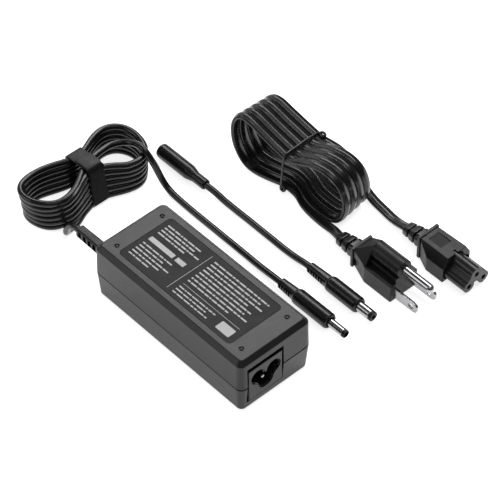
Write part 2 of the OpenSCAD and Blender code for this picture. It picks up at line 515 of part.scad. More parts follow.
module mains_plug_earth_pin() color("#d0d1d4") {
  // a thinner shank holds the pin in the body
  cylx(ma_x2-7.9, ma_x2+0.1, ma_y, blade_z+earth_pin_up, earth_pin_r-0.4);
  cylx(ma_x2, ma_x2+earth_pin_l-2, ma_y, blade_z+earth_pin_up, earth_pin_r);
  translate([ma_x2+earth_pin_l-2, ma_y, blade_z+earth_pin_up]) rotate([0,90,0]) cylinder(r1=earth_pin_r, r2=1.2, h=2, $fn=48);
}

top_shell();
bottom_shell();
rating_label();
inlet_housing();
inlet_live_pins();
inlet_earth_pin();
inlet_wires();
circuit_board();
insulating_sheet();
heat_spreader();
transformer_core();
transformer_bobbin();
transformer_winding();
bulk_capacitor();
output_capacitors();
noise_capacitor();
bridging_capacitors();
choke_core();
choke_windings();
bridge_rectifier();
switching_transistor();
primary_heat_sink();
output_rectifier();
secondary_heat_sink();
fuse();
surge_varistor();
control_chip();
optocoupler();
output_inductor();
output_wires();
lead_relief();
lead_tail();
lead_hank();
lead_run();
hank_strap();
plug_relief();
plug_grip();
plug_sleeve();
plug_tip_insulator();
tip_socket_housing();
tip_socket_sleeve();
tip_socket_pin();
tip_cord();
tip_relief();
tip_grip();
tip_sleeve();
tip_insulator();
coupler_body();
coupler_nose();
coupler_contacts();
coupler_relief();
coupler_cord();
mains_hank();
wire_tie();
mains_plug_cord();
mains_plug_relief();
mains_plug_body();
mains_plug_blades();
mains_plug_earth_pin();
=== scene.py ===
import json
import math

import bmesh
import bpy
import numpy as np
from mathutils import Matrix, Vector


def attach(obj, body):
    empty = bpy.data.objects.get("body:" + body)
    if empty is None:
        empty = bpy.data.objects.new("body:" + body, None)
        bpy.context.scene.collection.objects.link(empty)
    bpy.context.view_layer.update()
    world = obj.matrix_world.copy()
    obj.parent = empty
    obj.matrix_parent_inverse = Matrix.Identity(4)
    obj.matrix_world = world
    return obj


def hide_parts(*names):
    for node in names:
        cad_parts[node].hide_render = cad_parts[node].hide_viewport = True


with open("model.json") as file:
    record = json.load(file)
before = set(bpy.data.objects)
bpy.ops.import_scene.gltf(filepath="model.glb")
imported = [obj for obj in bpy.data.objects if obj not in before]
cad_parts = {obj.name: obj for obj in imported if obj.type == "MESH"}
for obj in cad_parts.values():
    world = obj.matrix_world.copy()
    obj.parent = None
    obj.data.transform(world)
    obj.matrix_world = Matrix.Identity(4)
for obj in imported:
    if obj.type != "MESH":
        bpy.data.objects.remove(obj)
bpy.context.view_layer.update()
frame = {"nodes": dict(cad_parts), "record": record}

S = 0.001
scene = bpy.context.scene
COL = scene.collection
NODES = frame["nodes"]
scene.view_settings.view_transform = "Standard"
scene.view_settings.look = "None"

# ---------------------------------------------------------------- camera
cam_data = bpy.data.cameras.new("camera")
cam_data.sensor_width = 36.0
cam_data.lens = 191.354
cam_data.clip_start = 0.02
cam_data.clip_end = 20.0
cam = bpy.data.objects.new("camera", cam_data)
COL.objects.link(cam)
cam.matrix_world = Matrix((
    (0.67433783, -0.53832487, 0.50544517, 0.65343850),
    (0.73841302, 0.49515273, -0.45778814, -0.55940405),
    (-0.00383381, 0.68193116, 0.73140632, 0.97734762),
    (0.0, 0.0, 0.0, 1.0)))
scene.camera = cam


# ---------------------------------------------------------------- numbers
def unit(v):
    v = np.asarray(v, float)
    return v / max(np.linalg.norm(v), 1e-12)


def spline(points, step=1.0, closed=False):
    """Centripetal Catmull-Rom through the points, resampled to an even step, in mm."""
    p = np.asarray(points, float)
    if closed:
        p = np.vstack([p[-1], p, p[0], p[1]])
    else:
        p = np.vstack([2 * p[0] - p[1], p, 2 * p[-1] - p[-2]])
    out = []
    for i in range(1, len(p) - 2):
        p0, p1, p2, p3 = p[i - 1], p[i], p[i + 1], p[i + 2]
        t0 = 0.0
        t1 = t0 + max(np.linalg.norm(p1 - p0), 1e-9) ** 0.5
        t2 = t1 + max(np.linalg.norm(p2 - p1), 1e-9) ** 0.5
        t3 = t2 + max(np.linalg.norm(p3 - p2), 1e-9) ** 0.5
        n = max(4, int(np.linalg.norm(p2 - p1) / 0.25))
        t = np.linspace(t1, t2, n, endpoint=False)[:, None]
        a1 = (t1 - t) / (t1 - t0) * p0 + (t - t0) / (t1 - t0) * p1
        a2 = (t2 - t) / (t2 - t1) * p1 + (t - t1) / (t2 - t1) * p2
        a3 = (t3 - t) / (t3 - t2) * p2 + (t - t2) / (t3 - t2) * p3
        b1 = (t2 - t) / (t2 - t0) * a1 + (t - t0) / (t2 - t0) * a2
        b2 = (t3 - t) / (t3 - t1) * a2 + (t - t1) / (t3 - t1) * a3
        out.append((t2 - t) / (t2 - t1) * b1 + (t - t1) / (t2 - t1) * b2)
    out.append(p[-2][None])
    return even(np.vstack(out), step)


def even(d, step):
    seg = np.linalg.norm(np.diff(d, axis=0), axis=1)
    s = np.concatenate([[0], np.cumsum(seg)])
    n = max(2, int(round(s[-1] / step)) + 1)
    t = np.linspace(0, s[-1], n)
    return np.stack([np.interp(t, s, d[:, k]) for k in range(d.shape[1])], 1)


def soften(p, rounds=2, keep=3):
    p = p.copy()
    for _ in range(rounds):
        q = p.copy()
        q[1:-1] = 0.25 * p[:-2] + 0.5 * p[1:-1] + 0.25 * p[2:]
        q[:keep], q[-keep:] = p[:keep], p[-keep:]
        p = q
    return p


def ease(t):
    t = min(max(t, 0.0), 1.0)
    return t * t * (3 - 2 * t)


def tangents(p):
    t = np.gradient(p, axis=0)
    return t / np.linalg.norm(t, axis=1)[:, None]


def transport(p):
    t = tangents(p)
    up = np.array([0.0, 0.0, 1.0])
    u = np.zeros_like(p)
    a = np.cross(up, t[0])
    if np.linalg.norm(a) < 1e-3:
        a = np.array([1.0, 0, 0])
    u[0] = unit(a)
    for i in range(1, len(p)):
        a = u[i - 1] - t[i] * np.dot(u[i - 1], t[i])
        u[i] = unit(a)
    return u, np.cross(t, u)


# ---------------------------------------------------------------- meshes
def new_obj(name, verts, faces, mat=None):
    me = bpy.data.meshes.new(name)
    v = np.asarray(verts, float) * S
    me.from_pydata([tuple(x) for x in v], [], [list(f) for f in faces])
    me.validate()
    me.update()
    o = bpy.data.objects.new(name, me)
    COL.objects.link(o)
    bm = bmesh.new()
    bm.from_mesh(me)
    bmesh.ops.recalc_face_normals(bm, faces=bm.faces[:])
    bm.to_mesh(me)
    bm.free()
    if mat:
        me.materials.append(mat)
    return o


def rings_mesh(rings, cap0=True, cap1=True):
    """Verts and faces through closed rings of one vertex count."""
    rings = [np.asarray(r, float) for r in rings]
    k = len(rings[0])
    v = np.vstack(rings)
    f = []
    for i in range(len(rings) - 1):
        for j in range(k):
            a, b = i * k + j, i * k + (j + 1) % k
            f.append((a, b, b + k, a + k))
    if cap0:
        f.append(tuple(range(k - 1, -1, -1)))
    if cap1:
        n = (len(rings) - 1) * k
        f.append(tuple(range(n, n + k)))
    return v, f


def loft(name, rings, mat=None, cap0=True, cap1=True):
    v, f = rings_mesh(rings, cap0, cap1)
    return new_obj(name, v, f, mat)


def sweep(name, path, profile, mat=None, w_axis=None, caps=True):
    """profile: (k, 2) offsets, or a function of the ring number that gives them; w_axis: wide direction at each point."""
    p = np.asarray(path, float)
    t = tangents(p)
    if w_axis is None:
        u, w = transport(p)
    else:
        a = np.asarray(w_axis, float)
        if a.ndim == 1:
            a = np.tile(a, (len(p), 1))
        a = a - t * (a * t).sum(1)[:, None]
        u = a / np.linalg.norm(a, axis=1)[:, None]
        w = np.cross(t, u)
    rings = []
    for i in range(len(p)):
        q = profile(i) if callable(profile) else profile
        q = np.asarray(q, float)
        rings.append(p[i] + q[:, :1] * u[i] + q[:, 1:2] * w[i])
    return loft(name, rings, mat, caps, caps)


def circle(r, n=16, phase=0.0):
    a = np.linspace(0, 2 * math.pi, n, endpoint=False) + phase
    return np.stack([r * np.cos(a), r * np.sin(a)], 1)


def rrect(w, h, r, n=6):
    """Closed rounded rectangle, counter-clockwise, (k, 2)."""
    out = []
    r = max(min(r, w / 2 - 1e-4, h / 2 - 1e-4), 1e-4)
    for cx, cy, a0 in ((1, 1, 0), (-1, 1, 90), (-1, -1, 180), (1, -1, 270)):
        for i in range(n + 1):
            a = math.radians(a0 + 90 * i / n)
            out.append((cx * (w / 2 - r) + r * math.cos(a), cy * (h / 2 - r) + r * math.sin(a)))
    return np.array(out)


def fillet(points, radii, n=5):
    """Open polyline in 2D with rounded inner corners."""
    p = [np.asarray(q, float) for q in points]
    out = [p[0]]
    for i in range(1, len(p) - 1):
        r = radii[i] if not np.isscalar(radii) else radii
        a, b = unit(p[i - 1] - p[i]), unit(p[i + 1] - p[i])
        ang = math.acos(max(-1, min(1, float(np.dot(a, b)))))
        if r <= 1e-6 or ang > math.pi - 1e-3:
            out.append(p[i])
            continue
        d = min(r / math.tan(ang / 2), 0.49 * np.linalg.norm(p[i - 1] - p[i]), 0.49 * np.linalg.norm(p[i + 1] - p[i]))
        r = d * math.tan(ang / 2)
        c = p[i] + unit(a + b) * (r / math.sin(ang / 2))
        s, e = p[i] + a * d, p[i] + b * d
        a0 = math.atan2(*(s - c)[::-1])
        a1 = math.atan2(*(e - c)[::-1])
        da = (a1 - a0 + math.pi) % (2 * math.pi) - math.pi
        for k in range(n + 1):
            t = a0 + da * k / n
            out.append(c + r * np.array([math.cos(t), math.sin(t)]))
    out.append(p[-1])
    return np.array(out)


def lathe(name, prof, y, z, mat=None, n=64, phase=0.0):
    """Profile (x, r) turned about the line through (y, z) along X. r = 0 ends close it."""
    v, f = [], []
    idx = []
    for x, r in prof:
        if r < 1e-6:
            idx.append([len(v)])
            v.append((x, y, z))
        else:
            idx.append(list(range(len(v), len(v) + n)))
            for i in range(n):
                a = 2 * math.pi * i / n + phase
                v.append((x, y + r * math.cos(a), z + r * math.sin(a)))
    for a, b in zip(idx[:-1], idx[1:]):
        for i in range(n):
            j = (i + 1) % n
            if len(a) == 1 and len(b) == 1:
                continue
            if len(a) == 1:
                f.append((a[0], b[j], b[i]))
            elif len(b) == 1:
                f.append((a[i], a[j], b[0]))
            else:
                f.append((a[i], a[j], b[j], b[i]))
    return new_obj(name, v, f, mat)


def block(name, lo, hi, mat=None):
    (x0, y0, z0), (x1, y1, z1) = lo, hi
    v = [(x0, y0, z0), (x1, y0, z0), (x1, y1, z0), (x0, y1, z0), (x0, y0, z1), (x1, y0, z1), (x1, y1, z1), (x0, y1, z1)]
    f = [(0, 3, 2, 1), (4, 5, 6, 7), (0, 1, 5, 4), (1, 2, 6, 5), (2, 3, 7, 6), (3, 0, 4, 7)]
    return new_obj(name, v, f, mat)


def prism(name, outline, x0, x1, y, z, mat=None):
    """Outline of (y, z) offsets run along X."""
    o = np.asarray(outline, float)
    r = [np.c_[np.full(len(o), x), o[:, 0] + y, o[:, 1] + z] for x in (x0, x1)]
    return loft(name, r, mat)


def rod(name, x0, x1, y, z, r, n=48, mat=None):
    return prism(name, circle(r, n), x0, x1, y, z, mat)


def pillar(name, x, y, z0, z1, r, n=32):
    c = circle(r, n)
    return loft(name, [np.c_[c[:, 0] + x, c[:, 1] + y, np.full(n, z)] for z in (z0, z1)])


def hull(name, points, mat=None):
    me = bpy.data.meshes.new(name)
    bm = bmesh.new()
    for q in points:
        bm.verts.new(tuple(np.asarray(q, float) * S))
    res = bmesh.ops.convex_hull(bm, input=bm.verts[:])
    loose = [g for g in res["geom_interior"] + res["geom_unused"] if isinstance(g, bmesh.types.BMVert)]
    bmesh.ops.delete(bm, geom=list(set(loose)), context="VERTS")
    bmesh.ops.dissolve_limit(bm, angle_limit=math.radians(0.5), verts=bm.verts[:], edges=bm.edges[:])
    bmesh.ops.recalc_face_normals(bm, faces=bm.faces[:])
    bm.to_mesh(me)
    bm.free()
    o = bpy.data.objects.new(name, me)
    COL.objects.link(o)
    if mat:
        me.materials.append(mat)
    return o


def apply(o):
    bpy.context.view_layer.update()
    dg = bpy.context.evaluated_depsgraph_get()
    me = bpy.data.meshes.new_from_object(o.evaluated_get(dg), preserve_all_data_layers=True, depsgraph=dg)
    o.modifiers.clear()
    old = o.data
    me.name = old.name
    o.data = me
    if old.users == 0:
        bpy.data.meshes.remove(old)
    return o


def combine(o, others, op="DIFFERENCE"):
    for c in others:
        m = o.modifiers.new("b", "BOOLEAN")
        m.operation, m.solver, m.object = op, "EXACT", c
    apply(o)
    for c in others:
        me = c.data
        bpy.data.objects.remove(c)
        if me.users == 0:
            bpy.data.meshes.remove(me)
    return o


def join(o, others):
    """Adds the other meshes to o as they are."""
    bm = bmesh.new()
    bm.from_mesh(o.data)
    for c in others:
        bm.from_mesh(c.data)
    bm.to_mesh(o.data)
    bm.free()
    for c in others:
        me = c.data
        bpy.data.objects.remove(c)
        if me.users == 0:
            bpy.data.meshes.remove(me)
    return o


def weld(o, dist=0.004):
    bm = bmesh.new()
    bm.from_mesh(o.data)
    bmesh.ops.remove_doubles(bm, verts=bm.verts[:], dist=dist * S)
    bmesh.ops.dissolve_degenerate(bm, dist=dist * S, edges=bm.edges[:])
    bm.to_mesh(o.data)
    bm.free()
    return o


def bevel(o, width, seg=3, angle=30):
    m = o.modifiers.new("bevel", "BEVEL")
    m.width, m.segments = width * S, seg
    m.limit_method, m.angle_limit = "ANGLE", math.radians(angle)
    m.use_clamp_overlap = True
    return apply(o)


def put(o, body, mat=None, cad=(), sharp=35, weighted=True):
    """Last step of a piece: material, smoothing, the body it rides on and the CAD node it stands for."""
    if mat:
        o.data.materials.clear()
        o.data.materials.append(mat)
    o.data.shade_smooth()
    o.data.set_sharp_from_angle(angle=math.radians(sharp))
    if weighted:
        m = o.modifiers.new("normals", "WEIGHTED_NORMAL")
        m.keep_sharp, m.weight = True, 60
    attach(o, body)
    if cad:
        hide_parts(*([cad] if isinstance(cad, str) else cad))
    return o


# ---------------------------------------------------------------- materials
def tree(name):
    m = bpy.data.materials.new(name)
    m.use_nodes = True
    t = m.node_tree
    t.nodes.clear()
    out = t.nodes.new("ShaderNodeOutputMaterial")
    b = t.nodes.new("ShaderNodeBsdfPrincipled")
    t.links.new(b.outputs[0], out.inputs[0])
    c = t.nodes.new("ShaderNodeTexCoord")
    return m, t, b, c


def ramp(t, src, stops):
    r = t.nodes.new("ShaderNodeValToRGB")
    e = r.color_ramp.elements
    while len(e) < len(stops):
        e.new(0.5)
    for i, (p, c) in enumerate(stops):
        e[i].position = p
        e[i].color = (c, c, c, 1) if np.isscalar(c) else (*c, 1)
    t.links.new(src, r.inputs[0])
    return r


def noise(t, vec, scale, detail=2.0, rough=0.5, distort=0.0):
    n = t.nodes.new("ShaderNodeTexNoise")
    n.inputs["Scale"].default_value = scale
    n.inputs["Detail"].default_value = detail
    n.inputs["Roughness"].default_value = rough
    n.inputs["Distortion"].default_value = distort
    t.links.new(vec, n.inputs["Vector"])
    return n


def bump(t, height, strength, dist_mm, normal=None):
    b = t.nodes.new("ShaderNodeBump")
    b.inputs["Strength"].default_value = strength
    b.inputs["Distance"].default_value = dist_mm * S
    t.links.new(height, b.inputs["Height"])
    if normal is not None:
        t.links.new(normal, b.inputs["Normal"])
    return b


def stretch(t, vec, sx, sy, sz):
    m = t.nodes.new("ShaderNodeMapping")
    m.inputs["Scale"].default_value = (sx, sy, sz)
    t.links.new(vec, m.inputs["Vector"])
    return m.outputs[0]


def plastic(name, base, rough, vary=0.18, cloud=120.0, grain=0.0, grain_mm=0.35, grain_depth=0.02,
            fine=0.0, fine_mm=0.12, spec=0.5, rough_vary=0.06, wear=0.0, ior=1.5, scratch=0.0):
    """Moulded plastic: mottled colour, uneven gloss, a spark-eroded grain and a finer one, and pale rubbed edges."""
    m, t, b, c = tree(name)
    vec = c.outputs["Object"]
    base = np.array(base, float)
    big = noise(t, vec, cloud, 4, 0.55)
    col = ramp(t, big.outputs["Fac"], [(0.3, tuple(base * (1 - vary))), (0.7, tuple(base * (1 + vary)))])
    color = col.outputs[0]
    g = noise(t, vec, 1000.0 / grain_mm, 2, 0.6)
    if grain > 0:
        mix = t.nodes.new("ShaderNodeMix")
        mix.data_type, mix.blend_type = "RGBA", "MULTIPLY"
        mix.inputs["Factor"].default_value = min(grain * 0.55, 1.0)
        speck = ramp(t, g.outputs["Fac"], [(0.35, 0.55), (0.65, 1.3)])
        t.links.new(color, mix.inputs["A"])
        t.links.new(speck.outputs[0], mix.inputs["B"])
        color = mix.outputs["Result"]
    if wear > 0:
        geo = t.nodes.new("ShaderNodeNewGeometry")
        edge = ramp(t, geo.outputs["Pointiness"], [(0.52, 0.0), (0.60, 1.0)])
        rub = noise(t, vec, 260.0, 3, 0.6)
        cut = ramp(t, rub.outputs["Fac"], [(0.45, 0.0), (0.62, 1.0)])
        mul = t.nodes.new("ShaderNodeMath")
        mul.operation = "MULTIPLY"
        t.links.new(edge.outputs[0], mul.inputs[0])
        t.links.new(cut.outputs[0], mul.inputs[1])
        amt = t.nodes.new("ShaderNodeMath")
        amt.operation = "MULTIPLY"
        amt.inputs[1].default_value = wear
        t.links.new(mul.outputs[0], amt.inputs[0])
        mix = t.nodes.new("ShaderNodeMix")
        mix.data_type = "RGBA"
        mix.inputs["B"].default_value = (*np.minimum(base * 3.2 + 0.02, 1.0), 1)
        t.links.new(amt.outputs[0], mix.inputs["Factor"])
        t.links.new(color, mix.inputs["A"])
        color = mix.outputs["Result"]
    t.links.new(color, b.inputs["Base Color"])
    rr = noise(t, vec, cloud * 2.3, 3, 0.6)
    rmap = ramp(t, rr.outputs["Fac"], [(0.3, max(rough - rough_vary, 0.03)), (0.7, min(rough + rough_vary, 1.0))])
    t.links.new(rmap.outputs[0], b.inputs["Roughness"])
    b.inputs["IOR"].default_value = ior
    b.inputs["Specular IOR Level"].default_value = spec
    nrm = None
    if grain > 0:
        nrm = bump(t, g.outputs["Fac"], min(grain, 1.0), grain_depth).outputs[0]
    if fine > 0:
        g2 = noise(t, vec, 1000.0 / fine_mm, 1, 0.5)
        nrm = bump(t, g2.outputs["Fac"], fine, 0.008, nrm).outputs[0]
    if scratch > 0:
        s = noise(t, stretch(t, vec, 30, 900, 900), 1.0, 3, 0.6, 0.4)
        nrm = bump(t, s.outputs["Fac"], scratch, 0.01, nrm).outputs[0]
    if nrm is None:
        soft = noise(t, vec, 420.0, 2, 0.5)
        nrm = bump(t, soft.outputs["Fac"], 0.08, 0.03).outputs[0]
    t.links.new(nrm, b.inputs["Normal"])
    return m


def metal(name, base, rough, brushed=None, vary=0.08, ior=1.5):
    """Plated or rolled metal: faint brushing along one axis, uneven gloss and a slight tarnish."""
    m, t, b, c = tree(name)
    vec = c.outputs["Object"]
    base = np.array(base, float)
    sx, sy, sz = brushed or (400, 400, 400)
    br = noise(t, stretch(t, vec, sx, sy, sz), 1.0, 4, 0.65)
    tar = noise(t, vec, 180.0, 4, 0.6)
    col = ramp(t, tar.outputs["Fac"], [(0.3, tuple(base * (1 - vary))), (0.65, tuple(np.minimum(base * (1 + vary * 0.5), 1)))])
    t.links.new(col.outputs[0], b.inputs["Base Color"])
    rmap = ramp(t, br.outputs["Fac"], [(0.3, max(rough * 0.6, 0.04)), (0.7, min(rough * 1.5, 1))])
    t.links.new(rmap.outputs[0], b.inputs["Roughness"])
    b.inputs["Metallic"].default_value = 1.0
    nb = bump(t, br.outputs["Fac"], 0.12, 0.01)
    t.links.new(nb.outputs[0], b.inputs["Normal"])
    return m


MAT = {}
MAT["case_plastic"] = plastic("case_plastic", (0.0125, 0.0125, 0.013), 0.38, vary=0.10, cloud=90, grain=0.95, grain_mm=0.42, grain_depth=0.026, fine=0.5, wear=0.05, rough_vary=0.02, spec=0.32)
MAT["label_film"] = plastic("label_film", (0.016, 0.016, 0.0165), 0.50, vary=0.08, cloud=60, fine=0.25, fine_mm=0.2, spec=0.15, rough_vary=0.04)
MAT["label_print"] = plastic("label_print", (0.50, 0.50, 0.51), 0.55, vary=0.06, cloud=400, fine=0.2, spec=0.3)
MAT["inlet_plastic"] = plastic("inlet_plastic", (0.010, 0.010, 0.0105), 0.30, vary=0.2, cloud=200, grain=0.35, grain_mm=0.3, grain_depth=0.01, fine=0.2, spec=0.34)
MAT["soft_plastic"] = plastic("soft_plastic", (0.0085, 0.0085, 0.009), 0.42, vary=0.22, cloud=160, grain=0.4, grain_mm=0.28, grain_depth=0.012, fine=0.2, wear=0.06, spec=0.28)
MAT["cord_jacket"] = plastic("cord_jacket", (0.0075, 0.0075, 0.008), 0.24, vary=0.25, cloud=140, grain=0.25, grain_mm=0.6, grain_depth=0.012, fine=0.25, rough_vary=0.05, spec=0.36)
MAT["flat_cord_jacket"] = plastic("flat_cord_jacket", (0.0075, 0.0075, 0.008), 0.25, vary=0.25, cloud=110, grain=0.12, grain_mm=1.2, grain_depth=0.008, fine=0.10, rough_vary=0.03, spec=0.48)
MAT["strap_vinyl"] = plastic("strap_vinyl", (0.008, 0.008, 0.0085), 0.44, vary=0.2, cloud=160, grain=0.5, grain_mm=0.4, grain_depth=0.02, fine=0.3, spec=0.30)
MAT["grip_plastic"] = plastic("grip_plastic", (0.0055, 0.0055, 0.006), 0.30, vary=0.22, cloud=160, grain=0.3, grain_mm=0.28, grain_depth=0.010, fine=0.2, wear=0.05, spec=0.36)
MAT["strap_back"] = plastic("strap_back", (0.006, 0.006, 0.0063), 0.62, vary=0.25, cloud=200, grain=0.9, grain_mm=0.35, grain_depth=0.05, fine=0.3, spec=0.10)
MAT["tie_plastic"] = plastic("tie_plastic", (0.006, 0.006, 0.0065), 0.34, vary=0.2, cloud=300, fine=0.3)
MAT["nickel_plate"] = metal("nickel_plate", (0.38, 0.38, 0.39), 0.20, brushed=(60, 900, 900))
MAT["contact_brass"] = metal("contact_brass", (0.62, 0.44, 0.20), 0.24, brushed=(60, 900, 900))
MAT["tip_insulation"] = plastic("tip_insulation", (0.006, 0.006, 0.006), 0.36, vary=0.2, cloud=400, fine=0.2, spec=0.2)
MAT["board_laminate"] = plastic("board_laminate", (0.020, 0.090, 0.035), 0.42, vary=0.25, cloud=220, grain=0.6, grain_mm=0.45, grain_depth=0.02, fine=0.3)
MAT["insulation_film"] = plastic("insulation_film", (0.30, 0.27, 0.20), 0.35, vary=0.1, cloud=80, fine=0.3)
MAT["aluminium_plate"] = metal("aluminium_plate", (0.70, 0.71, 0.72), 0.35, brushed=(30, 700, 700), vary=0.12)
MAT["ferrite"] = plastic("ferrite", (0.032, 0.031, 0.033), 0.62, vary=0.3, cloud=500, grain=0.8, grain_mm=0.3, grain_depth=0.03, spec=0.4)
MAT["bobbin_plastic"] = plastic("bobbin_plastic", (0.020, 0.018, 0.017), 0.45, vary=0.2, cloud=200, grain=0.4, fine=0.3)
MAT["winding_tape"] = plastic("winding_tape", (0.62, 0.42, 0.05), 0.32, vary=0.12, cloud=120, scratch=0.3, fine=0.2)
MAT["copper_wire"] = metal("copper_wire", (0.55, 0.22, 0.09), 0.28, brushed=(500, 120, 120), vary=0.2)
MAT["capacitor_sleeve"] = plastic("capacitor_sleeve", (0.012, 0.020, 0.045), 0.26, vary=0.15, cloud=150, fine=0.2)
MAT["capacitor_box"] = plastic("capacitor_box", (0.46, 0.33, 0.06), 0.38, vary=0.1, cloud=120, fine=0.3)
MAT["disc_coating"] = plastic("disc_coating", (0.04, 0.14, 0.42), 0.34, vary=0.2, cloud=300, grain=0.4, grain_mm=0.7, grain_depth=0.03)
MAT["chip_epoxy"] = plastic("chip_epoxy", (0.014, 0.014, 0.014), 0.52, vary=0.2, cloud=300, grain=0.6, grain_mm=0.25, grain_depth=0.015)
MAT["fuse_ceramic"] = plastic("fuse_ceramic", (0.66, 0.63, 0.54), 0.4, vary=0.08, cloud=300, grain=0.3)
MAT["wire_insulation"] = plastic("wire_insulation", (0.30, 0.025, 0.022), 0.32, vary=0.15, cloud=200, fine=0.2)

slot_of = {r["node"]: r["material_slot"] for r in frame["record"].get("subparts", [])}
for n, o in NODES.items():
    o.data.materials.clear()
    o.data.materials.append(MAT[slot_of.get(n, "case_plastic")])

# ---------------------------------------------------------------- output lead, 3.6 mm round
DC_R = 1.8
TAIL = [[-78.6, -11, 16.2], [-82, -11, 15.9], [-85.4, -11, 14.3], [-88, -10.9, 11.2], [-89.8, -10.7, 7.6],
        [-91.2, -10, 4.5], [-92.8, -8, 2.5], [-93.6, -5, 1.85], [-93.9, -1.4, 1.8]]
RUN = [[-77.4, 48.5, 2.3], [-70, 48.3, 1.8], [-60, 48, 1.8], [-50, 47.9, 1.8], [-40, 47.8, 1.8], [-30, 47.7, 1.8],
       [-20, 47.6, 1.8], [-10, 47.2, 2.2], [-2, 46.6, 3.4], [4, 46.25, 4.15], [8, 46.2, 4.3]]
TOP = [(-104.9, -16.9), (-111.2, -18.6), (-116.4, -17.5), (-119.8, -14.4), (-121.4, -8.8), (-121.2, -0.9),
       (-119.3, 6.6), (-116.5, 13.8), (-115.7, 19), (-117, 24.6), (-120.2, 31.4), (-122.3, 37.6), (-122.2, 43),
       (-119.9, 47.4), (-115.2, 50.6), (-109.2, 51.6), (-102.4, 50.6), (-97.1, 48.3), (-94.3, 44.9), (-92.9, 40.3),
       (-94, 34.1), (-98, 29), (-101.2, 24), (-102.2, 19), (-102.4, 14.1), (-100.7, 9.6), (-97, 2.8),
       (-95.2, -3.8), (-96.6, -9), (-99.9, -13.4)]
BOTTOM = [(-102.9, -13.5), (-108.6, -15.8), (-114.2, -16), (-118.8, -13.9), (-121.8, -9), (-122.4, -3.5),
          (-120.8, 2.5), (-119, 8), (-117.4, 13.9), (-117.4, 19), (-118.6, 25), (-120.8, 31), (-122.9, 36.6),
          (-123.4, 40.6), (-122.6, 44.8), (-120.3, 48.4), (-116.4, 51), (-111, 52.4), (-104.5, 51.4), (-99.2, 49),
          (-95.8, 45.6), (-93.8, 41), (-94.8, 34), (-97, 28.6), (-98.8, 24), (-99.9, 19), (-99.6, 13.5),
          (-96.8, 4), (-95.4, -2), (-98.6, -9)]
NRING = 360
LEVEL = 3.65


def ring_table(pts):
    d = spline([(x, y, 0) for x, y in pts], 0.2, closed=True)[:, :2]
    seg = np.linalg.norm(np.diff(d, axis=0), axis=1)
    s = np.concatenate([[0], np.cumsum(seg)])
    t = np.linspace(0, s[-1], NRING + 1)
    return np.stack([np.interp(t, s, d[:, k]) for k in range(2)], 1)[:-1]


T_TOP, T_BOT = ring_table(TOP), ring_table(BOTTOM)


def ring_xy(u, w):
    f = (u % 1.0) * NRING
    i = int(f) % NRING
    j = (i + 1) % NRING
    t = f - int(f)
    a = T_BOT[i] * (1 - t) + T_BOT[j] * t
    b = T_TOP[i] * (1 - t) + T_TOP[j] * t
    return a * (1 - w) + b * w


def dc_path():
    pts = []
    v = 0.13
    while v < 6.01:
        k = math.floor(v)
        f = v - k
        lev = k if k == 0 or f > 0.13 else k - 1 + ease(f / 0.13)
        w = lev / 5.0
        p = ring_xy(-v, w)
        t = unit(ring_xy(-v - 0.004, w) - p)
        wob = 0.16 * math.sin(2 * math.pi * (v * 1.37 + 0.3)) + 0.12 * math.sin(2 * math.pi * (v * 3.11 + 0.7))
        p = p + np.array([t[1], -t[0]]) * wob
        under = 0.45 * math.exp(-((p[1] - 18.6) / 6.0) ** 2)
        pts.append((p[0], p[1], DC_R + LEVEL * lev + under))
        v += 1.0 / 60
    out = [(-99.6, -12.8, 20.1), (-97.2, -8.6, 20.2), (-97, -2.6, 20.4), (-99.4, 4.6, 20.8), (-102.8, 10, 21), (-105.8, 14.2, 21),
           (-108.2, 18.8, 20.9), (-109.9, 24.6, 20.6), (-111, 31.2, 20.3), (-110.9, 37, 20.3), (-108.6, 41.8, 20.5),
           (-104.6, 44.6, 21.3), (-100.4, 45.4, 22.8), (-96.4, 45, 24), (-92.8, 45, 23), (-89.8, 45.7, 19.4),
           (-87.3, 46.8, 14), (-84.9, 47.7, 8.6), (-81.8, 48.3, 4.4)]
    return soften(spline(TAIL + pts + out + RUN, 1.3), 2)


DC = dc_path()
dc_cord = sweep("output_cord", DC, circle(DC_R, 20), MAT["cord_jacket"])
put(dc_cord, "root", cad=("lead_tail", "lead_hank", "lead_run"), sharp=60, weighted=False)

TIP = [[-69.6, 63.9, 4.1], [-66, 64, 4.0], [-62, 64.3, 3.5], [-55, 64.6, 2.2], [-46, 64.7, 1.8], [-37, 64.7, 1.8], [-28, 64.6, 1.8],
       [-19, 64.5, 1.8], [-10, 64.4, 1.8], [-2, 64.2, 2.6], [4, 64, 3.8], [7, 63.9, 4.2], [10, 63.9, 4.3]]
TP = spline(TIP, 1.3)
tip_cord = sweep("converter_cord", TP, circle(DC_R, 20), MAT["cord_jacket"])
put(tip_cord, "converter_lead", cad="tip_cord", sharp=60, weighted=False)

# ---------------------------------------------------------------- mains lead, flat three-core cord 5.4 x 2.9 mm
MH_X, MH_Y, MH_A = -40.0, 92.3, math.radians(8)
CA, SA = math.cos(MH_A), math.sin(MH_A)


def hank_world(xl, yl, z):
    return [MH_X + (xl - MH_X) * CA - yl * SA, MH_Y + (xl - MH_X) * SA + yl * CA, z]


def flat_profile():
    """Flat three-core jacket: a ridge along the middle and flanks sloping to round edges."""
    us = [2.7 - 1.0 * (1 - math.cos(math.pi / 2 * i / 11)) for i in range(12)] + [1.5, 1.25, 1.0, 0.8, 0.62, 0.48, 0.36, 0.25, 0.12]
    us = us + [0.0] + [-u for u in us[::-1]]

    def body(a):
        return 1.55 - 0.31 * (math.sqrt(a * a + 0.25) - 0.5)

    top = []
    for u in us:
        a = abs(u)
        top.append((u, body(a) if a <= 1.7 else body(1.7) * math.sqrt(max(0.0, 1 - ((a - 1.7) / 1.0) ** 2))))
    return np.array(top + [(u, -h) for u, h in top[::-1][1:-1]])


